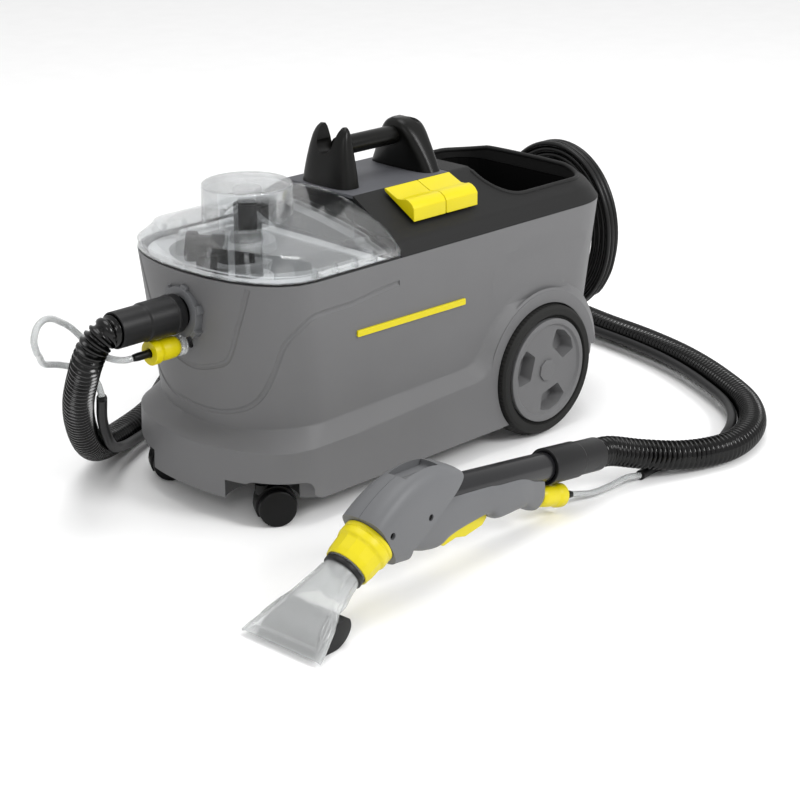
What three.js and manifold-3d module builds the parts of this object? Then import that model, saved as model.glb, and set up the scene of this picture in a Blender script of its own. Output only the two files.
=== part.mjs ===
// Spot extractor for carpets and upholstery: a wheeled machine with a clean water tank, a lift-out
// recovery tank under a clear lid, a suction turbine, a spray pump, a hose and a hand tool.
// Millimetres, +Z up. Machine frame: x = 0 on the wheel axis, +X to the rear, y = 0 on the centre
// plane, z = 0 on the floor. The finished group is shifted so its footprint is centred on the origin.
import * as THREE from 'three';
import { mergeVertices } from 'three/addons/utils/BufferGeometryUtils.js';
import ManifoldModule from 'manifold-3d';

const wasm = await ManifoldModule();
wasm.setup();

// ---------- driving dimensions ----------
const GAP = 0.4; // between touching pieces
const WALL = 4; // moulded housing wall
const SEAM_Z = 299; // top of the housing, bottom of the cover and lid
const HALF = 146; // half width of the housing at the seam
const NOSE_X = -484; // foremost point of the housing at the seam
const TAIL_X = 165; // rearmost point of the housing at the seam
const LID_X = -264; // joint between the lid and the top cover
const BAY_X = -68; // bulkhead between motor bay and clean water tank
const CREASE_Z = 316; // crease along the flanks of the top cover
const CREASE_HALF = 138;
const DECK_Z = 360; // level top of the machine
const DECK_HALF = 62;
const DECK_TAIL = 80; // behind this the cover falls to its crease at the tail
const WHEEL_R = 92;
const WHEEL_IN = 118; // inner face of a rear wheel, from the centre plane
const WHEEL_OUT = 160;
const ARCH_R = 100;
const FENDER_R = 115;
const FENDER_HALF = 150;
const STUB_R = 6; // stub axle
const CASTER = { x: -452, y: 100, yaw: 30, r: 23, trail: 15, pocket: 44.5 };
const HANDLE = { front: -242, barZ: 404, half: 42 };
const DOME = { x: -377, r: 55, top: 387, wall: 2.5 };
const BAIL = { pivot: -372, rear: -284 };
const BROW = { nose: -472, half: 130, z: 327, rise: 34 }; // rim of the lid, where its roof begins
const HOSE_R = 19;
const SLEEVE_R = 6.5;
const SPRAY_R = 4;
const LEAD_R = 4;
const INLET_Z = 250; // suction inlet on the nose
const SPRAY_Z = 210; // spray outlet under it
const TOOL = { x: -664, y: -358, yaw: 3 }; // mouth of the hand tool on the floor
const NOSE_TILT = 29; // nozzle and union nut, above the floor
const GRIP_TILT = 8.3; // grip tube, falling to the rear
const SPOUT_TILT = 15.8; // spray connection of the tool, falling to the rear
const BEND = { x: 195, z: 107 }; // where nozzle axis and grip axis meet, in the tool frame
const TUBE_R = 18; // grip tube
const rad = THREE.MathUtils.degToRad;

// ---------- materials ----------
function plastic(colour, roughness = 0.5, options = {}) {
  return new THREE.MeshStandardMaterial({ color: colour, roughness, metalness: 0, ...options });
}
const GREY = plastic('#75767a', 0.6);
const COVER = plastic('#3a3a3b', 0.55);
const DECK = plastic('#5a5b5e', 0.6);
const BLACK = plastic('#1f1e1d', 0.4);
const DARK = plastic('#434346', 0.45);
const YELLOW = plastic('#f4e21f', 0.35);
const TYRE = plastic('#4a4a48', 0.8);
const HUB = plastic('#87888a', 0.55);
const WHITE = plastic('#d9dadb', 0.4);
const CLEAR = plastic('#e6ebee', 0.08, { transparent: true, opacity: 0.35 });
const STEEL = new THREE.MeshStandardMaterial({ color: '#a9abad', roughness: 0.35, metalness: 1 });
const BRASS = new THREE.MeshStandardMaterial({ color: '#b58f45', roughness: 0.35, metalness: 1 });

// ---------- solids ----------
function solid(geometry) {
  const clean = geometry.clone();
  clean.deleteAttribute('normal');
  clean.deleteAttribute('uv');
  const merged = mergeVertices(clean, 1e-4);
  return new wasm.Manifold(new wasm.Mesh({
    numProp: 3,
    vertProperties: Float32Array.from(merged.attributes.position.array),
    triVerts: Uint32Array.from(merged.index.array),
  }));
}

function geometryOf(body) {
  const mesh = body.getMesh();
  const positions = new Float32Array(mesh.numVert * 3);
  for (let i = 0; i < mesh.numVert; i += 1) {
    for (let k = 0; k < 3; k += 1) positions[3 * i + k] = mesh.vertProperties[mesh.numProp * i + k];
  }
  const geometry = new THREE.BufferGeometry();
  geometry.setAttribute('position', new THREE.BufferAttribute(positions, 3));
  geometry.setIndex(new THREE.BufferAttribute(Uint32Array.from(mesh.triVerts), 1));
  const flat = geometry.toNonIndexed();
  flat.computeVertexNormals();
  return flat;
}

function box(x0, x1, y0, y1, z0, z1) {
  const geometry = new THREE.BoxGeometry(x1 - x0, y1 - y0, z1 - z0);
  return solid(geometry.translate((x0 + x1) / 2, (y0 + y1) / 2, (z0 + z1) / 2));
}

// A cylinder from point a to point b.
function rod(a, b, r, sides = 24, rEnd = r) {
  const from = new THREE.Vector3(...a);
  const to = new THREE.Vector3(...b);
  const axis = to.clone().sub(from);
  const geometry = new THREE.CylinderGeometry(rEnd, r, axis.length(), sides);
  const upright = new THREE.Vector3(0, 1, 0);
  const turn = new THREE.Quaternion().setFromUnitVectors(upright, axis.clone().normalize());
  const middle = from.add(to).multiplyScalar(0.5);
  return solid(geometry.applyQuaternion(turn).translate(middle.x, middle.y, middle.z));
}

// A body of revolution: profile points are [radius, height], closed on itself or on the axis.
function turned(profile, sides = 32) {
  const points = profile.map(([r, h]) => new THREE.Vector2(r, h));
  const geometry = new THREE.LatheGeometry(points, sides);
  return solid(geometry.rotateX(Math.PI / 2));
}

// A ring or tube from its inner and outer radius, standing on z0.
function ring(inner, outer, z0, z1, sides = 32) {
  return turned([[inner, z0], [outer, z0], [outer, z1], [inner, z1], [inner, z0]], sides);
}

// Stacks closed plan outlines, all with the same count of [x, y] points, into one solid.
function loft(levels) {
  const positions = [];
  for (const { z, outline } of levels) {
    for (const [x, y] of outline) positions.push(x, y, z);
  }
  const count = levels[0].outline.length;
  const index = [];
  for (let level = 0; level + 1 < levels.length; level += 1) {
    for (let i = 0; i < count; i += 1) {
      const a = level * count + i;
      const b = level * count + ((i + 1) % count);
      index.push(a, b, b + count, a, b + count, a + count);
    }
  }
  const flat = levels[0].outline.map(([x, y]) => new THREE.Vector2(x, y));
  const top = (levels.length - 1) * count;
  for (const [a, b, c] of THREE.ShapeUtils.triangulateShape(flat, [])) {
    index.push(a, c, b, top + a, top + b, top + c);
  }
  const geometry = new THREE.BufferGeometry();
  geometry.setAttribute('position', new THREE.Float32BufferAttribute(positions, 3));
  geometry.setIndex(index);
  return solid(geometry);
}

// Plan outline of the machine: a rounded nose, straight flanks and a rounded tail.
function plan({ nose, tail, half, noseRun = 84, tailRun = 100, nosePower = 2.2, tailPower = 2.6 }) {
  const steps = 12;
  const outline = [];
  const arc = (centre, run, power, side) => {
    for (let i = 0; i <= steps; i += 1) {
      const angle = side * (-90 + (180 * i) / steps);
      const c = Math.cos(rad(angle));
      const s = Math.sin(rad(angle));
      const x = centre + side * run * Math.abs(c) ** (2 / power);
      const y = half * Math.sign(s) * Math.abs(s) ** (2 / power);
      outline.push([x, y]);
    }
  };
  arc(tail - tailRun, tailRun, tailPower, 1);
  arc(nose + noseRun, noseRun, nosePower, -1);
  return outline;
}

// A domed sheet over a plan outline: height(x, y) gives its top, and it is thick millimetres thick.
function sheet(outline, height, thick) {
  const rings = 5;
  const [left, right] = [Math.min(...outline.map((p) => p[0])), Math.max(...outline.map((p) => p[0]))];
  const centre = [(left + right) / 2, 0];
  const count = outline.length;
  const layer = [centre];
  for (let ringNo = 1; ringNo <= rings; ringNo += 1) {
    for (const [x, y] of outline) {
      const t = ringNo / rings;
      layer.push([centre[0] + (x - centre[0]) * t, y * t]);
    }
  }
  const positions = [];
  for (const [x, y] of layer) positions.push(x, y, height(x, y));
  for (const [x, y] of layer) positions.push(x, y, height(x, y) - thick);
  const index = [];
  const under = layer.length;
  const face = (a, b, c) => index.push(a, b, c, under + a, under + c, under + b);
  for (let i = 0; i < count; i += 1) {
    const next = (i + 1) % count;
    face(0, 1 + i, 1 + next);
    for (let ringNo = 1; ringNo < rings; ringNo += 1) {
      const inner = 1 + (ringNo - 1) * count;
      const outer = inner + count;
      face(inner + i, outer + i, outer + next);
      face(inner + i, outer + next, inner + next);
    }
    const rim = 1 + (rings - 1) * count;
    index.push(rim + i, under + rim + i, under + rim + next, rim + i, under + rim + next, rim + next);
  }
  const geometry = new THREE.BufferGeometry();
  geometry.setAttribute('position', new THREE.Float32BufferAttribute(positions, 3));
  geometry.setIndex(index);
  return solid(geometry);
}

// A plate with the given [x, z] side outline, from y0 to y1.
function sidePlate(outline, y0, y1) {
  const shape = new THREE.Shape(outline.map(([x, z]) => new THREE.Vector2(x, z)));
  const geometry = new THREE.ExtrudeGeometry(shape, { depth: y1 - y0, bevelEnabled: false });
  return solid(geometry.rotateX(Math.PI / 2).translate(0, y1, 0));
}

function join(...bodies) {
  return bodies.reduce((whole, body) => whole.add(body));
}

function cut(body, ...tools) {
  return tools.reduce((whole, tool) => whole.subtract(tool), body);
}

const machine = new THREE.Group();
const tool = new THREE.Group();
tool.position.set(TOOL.x, TOOL.y, 0);
tool.rotation.z = rad(TOOL.yaw);
machine.add(tool);

function piece(name, shape, material, parent = machine) {
  const geometry = shape.isBufferGeometry ? shape : geometryOf(shape);
  const mesh = new THREE.Mesh(geometry, material);
  mesh.name = name;
  parent.add(mesh);
  return mesh;
}

// ---------- housing ----------
// Level in the middle, falling evenly to the crease along both flanks and round the tail.
function coverHeight(x, y) {
  const slope = (DECK_Z - CREASE_Z) / (CREASE_HALF - DECK_HALF);
  const across = Math.max(0, Math.abs(y) - DECK_HALF);
  const along = Math.max(0, x - DECK_TAIL);
  return DECK_Z - slope * (across ** 1.6 + along ** 1.6) ** (1 / 1.6);
}

function housingLevel(z, nose, tail, half) {
  return { z, outline: plan({ nose, tail, half }) };
}

function wheelWell(side, r, from) {
  return rod([0, side * from, WHEEL_R], [0, side * 200, WHEEL_R], r, 40);
}

const housingOuter = loft([
  housingLevel(31, -489, 152, 151),
  housingLevel(102, -487, 158, 150),
  housingLevel(125, -464, 146, 137),
  housingLevel(SEAM_Z, NOSE_X, TAIL_X, HALF),
]);

function casterPost(side, r, z0, z1) {
  return rod([CASTER.x, side * CASTER.y, z0], [CASTER.x, side * CASTER.y, z1], r, 28);
}

function mainHousing() {
  const inner = loft([
    housingLevel(30 + WALL, -482, 144, 132),
    housingLevel(125, -460, 142, 132),
    housingLevel(SEAM_Z + 1, NOSE_X + WALL, TAIL_X - WALL, HALF - WALL),
  ]);
  let body = housingOuter;
  for (const side of [-1, 1]) {
    const fender = rod([0, side * 110, WHEEL_R], [0, side * FENDER_HALF, WHEEL_R], FENDER_R, 40);
    body = join(body, cut(fender, box(0, 200, -200, 200, -50, 103), box(-200, 1, -200, 200, -50, 31)));
  }
  const undercut = box(58, 220, -220, 220, 0, 84);
  let hollow = cut(inner, box(54, 220, -220, 220, 0, 84 + WALL));
  for (const side of [-1, 1]) {
    hollow = hollow.subtract(wheelWell(side, ARCH_R + WALL, 106));
    hollow = hollow.subtract(casterPost(side, CASTER.pocket + WALL, 0, 66));
  }
  const bulkheads = [LID_X - 2, BAY_X].map((x) => box(x, x + WALL, -200, 200, 0, 400));
  body = cut(body, undercut, cut(hollow, ...bulkheads));
  body = cut(body, box(LID_X + 8, BAY_X - 6, -108, 108, 20, 60)); // motor bay opens underneath
  for (const side of [-1, 1]) {
    body = cut(body, wheelWell(side, ARCH_R, 110));
    body = cut(body, casterPost(side, CASTER.pocket, 0, 54), casterPost(side, 5.4, 53, 61));
    body = cut(body, rod([0, side * 100, WHEEL_R], [0, side * 130, WHEEL_R], STUB_R + 0.05));
  }
  body = cut(body, rod([-520, 0, INLET_Z], [-440, 0, INLET_Z], 24)); // suction inlet
  body = cut(body, rod([-520, 0, SPRAY_Z], [-440, 0, SPRAY_Z], 8)); // spray outlet
  return cut(body, rod([120, 0, 200], [200, 0, 200], 9)); // cord gland
}

function topCover() {
  const seam = plan({ nose: NOSE_X, tail: TAIL_X, half: HALF });
  const crease = plan({ nose: NOSE_X, tail: 156, half: CREASE_HALF });
  const seamIn = plan({ nose: NOSE_X, tail: TAIL_X - WALL, half: HALF - WALL });
  const creaseIn = plan({ nose: NOSE_X, tail: 156 - WALL, half: CREASE_HALF - WALL });
  const flank = cut(
    loft([{ z: SEAM_Z + GAP, outline: seam }, { z: CREASE_Z, outline: crease }]),
    loft([{ z: SEAM_Z - 1, outline: seamIn }, { z: CREASE_Z + 1, outline: creaseIn }]),
  );
  const top = sheet(crease, coverHeight, WALL);
  const front = box(-600, LID_X + 2, -200, 200, 200, 500);
  const deckHole = box(LID_X - 10, -92, -DECK_HALF, DECK_HALF, 300, 500);
  const hopper = fillerBlock(3, 315, 400).intersect(sheet(crease, coverHeight, 60));
  return cut(join(flank, top, hopper), front, fillerBlock(0, 300, 500), deckHole);
}

// An upright block with rounded vertical corners.
function rounded(x0, x1, y0, y1, z0, z1, r, steps = 5) {
  const outline = [];
  const corners = [[x1 - r, y0 + r, -90], [x1 - r, y1 - r, 0], [x0 + r, y1 - r, 90], [x0 + r, y0 + r, 180]];
  for (const [x, y, start] of corners) {
    for (let i = 0; i <= steps; i += 1) {
      const angle = rad(start + (90 * i) / steps);
      outline.push([x + r * Math.cos(angle), y + r * Math.sin(angle)]);
    }
  }
  return loft([{ z: z0, outline }, { z: z1, outline }]);
}

// The mouth of the clean water tank, grown outwards by a wall.
function fillerBlock(grow, z0, z1) {
  return rounded(-56 - grow, 124 + grow, -116 - grow, 116 + grow, z0, z1, 46 + grow);
}

function freshTank() {
  const upper = fillerBlock(3, 206, 314);
  const lower = rounded(-59, 122, -101, 101, 92, 207, 40);
  const inside = join(fillerBlock(0, 209, 330), rounded(-56, 119, -98, 98, 95, 215, 37));
  return cut(join(upper, lower), inside);
}

function basePlate() {
  return box(LID_X + 9, BAY_X - 7, -107, 107, 36, 40);
}

// ---------- lid and recovery tank ----------
function lidHeight(x, y) {
  const run = Math.min(1, Math.max(0, (x - BROW.nose) / 200));
  const crown = Math.max(0, 1 - (y / BROW.half) ** 2);
  return BROW.z + BROW.rise * crown * Math.sqrt(run);
}

function lidCover() {
  const lip = (inset) => plan({ nose: NOSE_X + inset, tail: 0, half: HALF - inset });
  const brow = (inset) => plan({ nose: BROW.nose + inset, tail: 0, half: BROW.half - inset });
  const wall = cut(
    loft([{ z: SEAM_Z + 3, outline: lip(0) }, { z: BROW.z, outline: brow(0) }]),
    loft([{ z: SEAM_Z + 2, outline: lip(3) }, { z: BROW.z + 0.5, outline: brow(3) }]),
  );
  const roof = sheet(brow(0), lidHeight, 2.5);
  const cup = turned([[0, 0], [DOME.r, 0], [DOME.r, 50], [0, 50]], 40);
  const inside = turned([[0, -20], [DOME.r - DOME.wall, -20], [DOME.r - DOME.wall, 47], [0, 47]], 40);
  const shell = cut(join(wall, roof), box(LID_X - 0.5, 300, -300, 300, 0, 500));
  const place = [DOME.x, 0, DOME.top - 50];
  return cut(join(shell, cup.translate(place)), inside.translate(place));
}

function lidSeal() {
  const outline = (inset) => plan({ nose: NOSE_X + inset, tail: 0, half: HALF - inset });
  const band = cut(
    loft([{ z: SEAM_Z + GAP, outline: outline(1) }, { z: SEAM_Z + 2.6, outline: outline(1) }]),
    loft([{ z: SEAM_Z - 5, outline: outline(5) }, { z: SEAM_Z + 8, outline: outline(5) }]),
  );
  return cut(band, box(LID_X - 0.5, 300, -300, 300, 0, 500));
}

function recoveryTank() {
  const level = (z, nose, half) => ({ z, outline: plan({ nose, tail: 0, half, noseRun: 78 }) });
  const outer = loft([level(70, -446, 110), level(296, -474, 136)]);
  const inner = loft([level(73, -443, 107), level(300, -471, 133)]);
  const back = box(-270.5, 200, -300, 300, 0, 500);
  const body = cut(outer, back, cut(inner, box(-273.5, 200, -300, 300, 0, 500)));
  return cut(body, rod([-520, 0, INLET_Z], [-440, 0, INLET_Z], 22.5));
}

function suctionRiser() {
  return ring(13, 17, 73.4, 362, 24).translate([DOME.x, 0, 0]);
}

// The dirty water comes in through the nose and is turned down into the tank.
function inletElbow() {
  const barrel = rod([-473.6, 0, INLET_Z], [-418, 0, INLET_Z], 22);
  const upright = rod([-434, 0, INLET_Z], [-434, 0, 314], 19);
  const head = rod([-448, 32, 316], [-411, -4, 312], 16);
  const bore = rod([-476, 0, INLET_Z], [-434, 0, INLET_Z], 18);
  return cut(join(barrel, upright, head), bore);
}

// Bail of the recovery tank: two arms and a broad cross band, folded back flat on the rim.
function tankBail() {
  const arm = box(BAIL.pivot - 7, BAIL.rear, 123.5, 131.5, 297, 302);
  return join(arm, arm.mirror([0, 1, 0]), box(BAIL.rear - 16, BAIL.rear, -131.5, 131.5, 297, 302));
}

// ---------- running gear ----------
function stubAxle(side) {
  return rod([0, side * 106.5, WHEEL_R], [0, side * 157, WHEEL_R], STUB_R);
}

function onAxle(shape, side) {
  return shape.rotate([side * -90, 0, 0]).translate([0, 0, WHEEL_R]);
}

function rearTyre(side) {
  const profile = [
    [67, WHEEL_IN], [86, WHEEL_IN], [WHEEL_R, WHEEL_IN + 6], [WHEEL_R, WHEEL_OUT - 6],
    [86, WHEEL_OUT], [67, WHEEL_OUT], [67, WHEEL_IN],
  ];
  return onAxle(turned(profile, 56), side);
}

function rearHub(side) {
  const profile = [
    [0, 157.6], [STUB_R + 0.3, 157.6], [STUB_R + 0.3, 120], [66.6, 120], [66.6, 158], [58, 158],
    [54, 150], [20, 150], [14, 158], [0, 159],
  ];
  let hub = turned(profile, 48);
  const window = new THREE.Shape();
  window.absarc(0, 0, 49, rad(62), rad(118), false);
  window.absarc(0, 0, 27, rad(108), rad(72), true);
  const pocketShape = { depth: 22, bevelEnabled: false, curveSegments: 6 };
  const pocket = solid(new THREE.ExtrudeGeometry(window, pocketShape));
  for (const turn of [60, 180, 300]) {
    hub = cut(hub, pocket.translate([0, 0, 134]).rotate([0, 0, turn - 90]));
  }
  return onAxle(hub, side);
}

// A caster in its own frame: the stem on z, the roller axle along y, trailing towards +x.
function casterHood(side) {
  const stem = rod([0, 0, 40], [0, 0, 60], 5, 20);
  const barrel = cut(
    rod([CASTER.trail, -9, CASTER.r], [CASTER.trail, 9, CASTER.r], CASTER.r + 2.5, 28),
    box(-30, 60, -20, 20, -10, CASTER.r - 12),
  );
  const cap = rod([0, 0, 38], [0, 0, 50.5], 8.8, 20);
  const bore = rod([CASTER.trail, -20, CASTER.r], [CASTER.trail, 20, CASTER.r], 4.4, 16);
  return casterPlace(cut(join(stem, cap, barrel), bore), side);
}

function casterRoller(side) {
  const discs = [-1, 1].map((end) => rod(
    [CASTER.trail, end * 9.5, CASTER.r],
    [CASTER.trail, end * 21, CASTER.r],
    CASTER.r,
    32,
  ));
  const axle = rod([CASTER.trail, -12, CASTER.r], [CASTER.trail, 12, CASTER.r], 4, 16);
  return casterPlace(join(...discs, axle), side);
}

function casterPlace(shape, side) {
  return shape.rotate([0, 0, -CASTER.yaw]).translate([CASTER.x, side * CASTER.y, 0]);
}

// ---------- deck, handle and switches ----------
function deckPanel() {
  return box(LID_X + 2.5, -92.4, -DECK_HALF + GAP, DECK_HALF - GAP, DECK_Z - 5, DECK_Z);
}

function handleFrontPost() {
  const foot = DECK_Z + GAP;
  const shape = new THREE.Shape();
  shape.moveTo(-HANDLE.half, foot);
  shape.lineTo(HANDLE.half, foot);
  shape.quadraticCurveTo(34, 410, 24, 428);
  shape.lineTo(19, 435);
  shape.absarc(0, 414, 14, rad(20), rad(160), true);
  shape.lineTo(-19, 435);
  shape.lineTo(-24, 428);
  shape.quadraticCurveTo(-34, 410, -HANDLE.half, foot);
  const plate = new THREE.ExtrudeGeometry(shape, { depth: 34, bevelEnabled: false, curveSegments: 8 });
  plate.rotateX(Math.PI / 2).rotateZ(Math.PI / 2).translate(HANDLE.front - 17, 0, 0);
  const side = [[-261, 350], [-224, 350], [-228, 400], [-234, 440], [-250, 440], [-256, 400]];
  return solid(plate).intersect(sidePlate(side, -60, 60));
}

function handleRearPost() {
  const foot = DECK_Z + GAP;
  const side = sidePlate([
    [-138, foot], [-98, foot], [-106, 402], [-114, 420], [-126, 427], [-139, 426], [-141, 418],
    [-132, 416], [-134, 396],
  ], -HANDLE.half, HANDLE.half);
  const taper = new THREE.Shape();
  taper.moveTo(-HANDLE.half, 350);
  taper.lineTo(HANDLE.half, 350);
  taper.lineTo(26, 410);
  taper.quadraticCurveTo(22, 430, 8, 430);
  taper.lineTo(-8, 430);
  taper.quadraticCurveTo(-22, 430, -26, 410);
  const plate = new THREE.ExtrudeGeometry(taper, { depth: 80, bevelEnabled: false, curveSegments: 6 });
  plate.rotateX(Math.PI / 2).rotateZ(Math.PI / 2).translate(-160, 0, 0);
  return cut(side.intersect(solid(plate)), rod([-160, 0, HANDLE.barZ], [-120, 0, HANDLE.barZ], 12.5));
}

function handleBar() {
  return rod([HANDLE.front + 18, 0, HANDLE.barZ], [-120.5, 0, HANDLE.barZ], 12, 24);
}

// The two rockers lie side by side on the near slope of the cover.
function slopeFrame(shape) {
  const slope = THREE.MathUtils.radToDeg(Math.atan((DECK_Z - CREASE_Z) / (CREASE_HALF - DECK_HALF)));
  return shape.rotate([slope, 0, 0]).translate([0, -97, coverHeight(0, -97)]);
}

function rocker(x0, x1) {
  const outline = [
    [-27, 3.8], [31, 3.8], [34, 6], [33, 8], [10, 10.5], [4, 14], [-1, 19], [-6, 20.8],
    [-13, 20.5], [-18.5, 18],
  ];
  const shape = new THREE.Shape(outline.map(([y, z]) => new THREE.Vector2(y, z)));
  const block = new THREE.ExtrudeGeometry(shape, { depth: x1 - x0, bevelEnabled: false });
  block.rotateX(Math.PI / 2).rotateZ(Math.PI / 2).translate(x0, 0, 0);
  return slopeFrame(solid(block));
}

function switchBlock() {
  return slopeFrame(box(-215, -105, -26, 28, -34, -8));
}

// ---------- turbine and pump ----------
function turbineHousing() {
  const shell = ring(13, 78, 96, 168, 40);
  const inside = turned([[12, 100], [74, 100], [74, 164], [12, 164], [12, 100]], 40);
  const inlet = rod([0, 0, 160], [0, 0, 180], 30, 32);
  return cut(shell, inside, inlet).translate([-166, 0, 0]);
}

function motorCan() {
  const can = rod([0, 0, 176], [0, 0, 262], 50, 36);
  const inside = rod([0, 0, 180], [0, 0, 258], 46, 36);
  return cut(can, inside, rod([0, 0, 170], [0, 0, 182], 8, 24)).translate([-166, 0, 0]);
}

function motorRotor() {
  const shaft = rod([0, 0, 104], [0, 0, 250], 5, 16);
  const fan = rod([0, 0, 112], [0, 0, 150], 66, 32, 40);
  const armature = rod([0, 0, 192], [0, 0, 240], 30, 24);
  return join(shaft, fan, armature).translate([-166, 0, 0]);
}

const PUMP = { x: -166, y: 84 };

function pumpBody() {
  const block = box(PUMP.x - 40, PUMP.x + 40, PUMP.y - 18, PUMP.y + 18, 44, 84);
  return cut(block, rod([PUMP.x - 50, PUMP.y, 64], [PUMP.x + 34, PUMP.y, 64], 9.4, 24));
}

function pumpPiston() {
  const barrel = rod([PUMP.x - 30, PUMP.y, 64], [PUMP.x + 24, PUMP.y, 64], 9.3, 24);
  return join(barrel, rod([PUMP.x - 52, PUMP.y, 64], [PUMP.x - 20, PUMP.y, 64], 4, 16));
}

function waterStrainer() {
  return ring(6, 16, 95.6, 140, 20).translate([-20, 0, 0]);
}

// ---------- inlet, couplings and cord fittings ----------
function inletPort() {
  const flange = ring(20, 31, -6, 9, 28);
  const lugs = [0, 1, 2, 3, 4, 5].map((i) => box(-5, 5, 28, 35, -6, 8).rotate([0, 0, 60 * i + 15]));
  const sleeve = ring(20, 23.4, -4, 6, 28);
  const place = (shape) => shape.rotate([0, -90, 0]).translate([-478.5, 0, INLET_Z]);
  return join(cut(place(join(flange, ...lugs)), housingOuter.translate([-GAP, 0, 0])), place(sleeve));
}

// Two-step hose cuff along -x from the inlet port.
function hoseCuff() {
  const profile = [[17, 0], [23.5, 0], [23.5, 50], [22, 53], [22, 92], [19.6, 92], [17, 70], [17, 0]];
  return turned(profile, 32).rotate([0, -90, 0]).translate([-492, 0, INLET_Z]);
}

function sprayNipple() {
  return rod([-481, 0, SPRAY_Z], [-558, 0, SPRAY_Z], 5, 20);
}

function couplingSleeve(from, length) {
  const profile = [
    [5.4, 0], [11, 0], [13, 5], [13, length - 14], [15, length - 9], [15, length], [5.4, length], [5.4, 0],
  ];
  return turned(profile, 24).rotate([0, -90, 0]).translate([from, 0, 0]);
}

function cableHook() {
  const arm = box(166, 216, -16, 16, 302, 308);
  const lip = box(210, 216, -16, 16, 302, 328);
  const foot = box(166, 171, -24, 24, 268, 308);
  return join(arm, lip, foot);
}

function cordGland() {
  const stem = rod([144, 0, 200], [156, 0, 200], 8.6, 20);
  return join(stem, rod([155.9, 0, 200], [172, 0, 200], 12, 20, 7));
}

function mainsPlug() {
  const body = rod([194, -42, 278], [194, -4, 278], 13, 20, 16);
  const pins = [184.5, 203.5].map((x) => rod([x, -6, 278], [x, 14, 278], 2.4, 12));
  return join(body, ...pins);
}

// ---------- hand tool ----------
function alongNose(distance, lift = 0) {
  const [c, s] = [Math.cos(rad(NOSE_TILT)), Math.sin(rad(NOSE_TILT))];
  return [BEND.x - distance * c - lift * s, 0, BEND.z - distance * s + lift * c];
}

function alongGrip(distance, lift = 0) {
  const [c, s] = [Math.cos(rad(GRIP_TILT)), Math.sin(rad(GRIP_TILT))];
  return [BEND.x + distance * c + lift * s, 0, BEND.z - distance * s + lift * c];
}

function gripTube() {
  const bore = rod(alongGrip(20), alongGrip(280), TUBE_R - 2.5, 28);
  return cut(rod(alongGrip(24), alongGrip(276), TUBE_R, 28), bore);
}

function toolCuff() {
  const wide = rod(alongGrip(260), alongGrip(320), 22.5, 28);
  const narrow = rod(alongGrip(319), alongGrip(364), 21, 28);
  const socket = rod(alongGrip(250), alongGrip(276.6), TUBE_R + 0.3, 28);
  return cut(join(wide, narrow), socket, rod(alongGrip(270), alongGrip(370), 17, 28));
}

const SHELL_SIDE = [
  [118, 98], [130, 112], [160, 132], [198, 144], [238, 143], [268, 132], [284, 117], [256, 100],
  [415, 77], [434, 70], [441, 50], [438, 30], [428, 24], [412, 27], [400, 42], [340, 51],
  [300, 50], [262, 47], [246, 40], [222, 42], [198, 51], [169, 56], [140, 48],
];

function toolShell(side) {
  const half = side < 0 ? [-29, -0.2] : [0.2, 29];
  const front = rod(alongNose(55), alongNose(-30), 31, 28);
  const rear = box(210, 460, -24, 24, 0, 200);
  const block = sidePlate(SHELL_SIDE, ...half);
  const round = join(front, rear, box(165, 260, -29, 29, 60, 125), box(180, 262, -22, 22, 36, 144));
  const slim = cut(block.intersect(round), box(300, 460, -26, -21, 0, 200), box(300, 460, 21, 26, 0, 200));
  const passage = rod(alongNose(60), alongNose(4), 21, 28);
  const tube = rod(alongGrip(10), alongGrip(262), TUBE_R + 0.4, 28);
  const triggerSlot = box(246, 345, -8, 8, 20, 64);
  const valveSlot = box(344, 404, -9.5, 9.5, 40, 60);
  const spout = rod(alongSpout(-4), alongSpout(58), 5.4, 20);
  const pivot = rod([257, -40, 45], [257, 40, 45], 2.1, 16);
  const nutRoom = rod(alongNose(55.5), alongNose(120), 60, 24);
  return cut(slim, passage, tube, triggerSlot, valveSlot, spout, pivot, nutRoom);
}

function trigger() {
  const lever = sidePlate([
    [251, 50], [251, 40], [262, 34], [284, 37], [300, 33], [330, 37], [338, 44], [336, 51],
    [300, 52], [270, 52],
  ], -7, 7);
  return cut(lever, rod([257, -9, 45], [257, 9, 45], 2.3, 16));
}

function sprayValve() {
  const body = rod([350, 0, 50], [396, 0, 50], 8.5, 20);
  return cut(body, rod([340, 0, 50], [360, 0, 50], 3.1, 16));
}

function valveStem() {
  return rod([340.5, 0, 50], [354, 0, 50], 3, 16);
}

// The spray line leaves the tool along its own axis, falling to the rear.
function alongSpout(distance) {
  return [404 + distance * Math.cos(rad(SPOUT_TILT)), 0, 45.3 - distance * Math.sin(rad(SPOUT_TILT))];
}

function toolNipple() {
  return rod(alongSpout(0), alongSpout(109), 5, 20);
}

function unionNut() {
  const bodyNut = join(
    rod(alongNose(56), alongNose(73), 31, 36),
    rod(alongNose(72), alongNose(98), 28.5, 36, 27),
  );
  return cut(bodyNut, rod(alongNose(50), alongNose(100), 24.4, 32));
}

// The suction nozzle, along its own axis from the mouth up to the neck. In this frame x points down.
const NOZZLE = { mouth: 213, neck: 99, wall: 2 };
const NOZZLE_STATIONS = [
  // distance from the mouth, half width, half thickness
  [0, 58, 5], [10, 56, 6], [52, 41, 12], [60, 35, 15], [92, 25, 20], [114, 22, 21],
];

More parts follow.
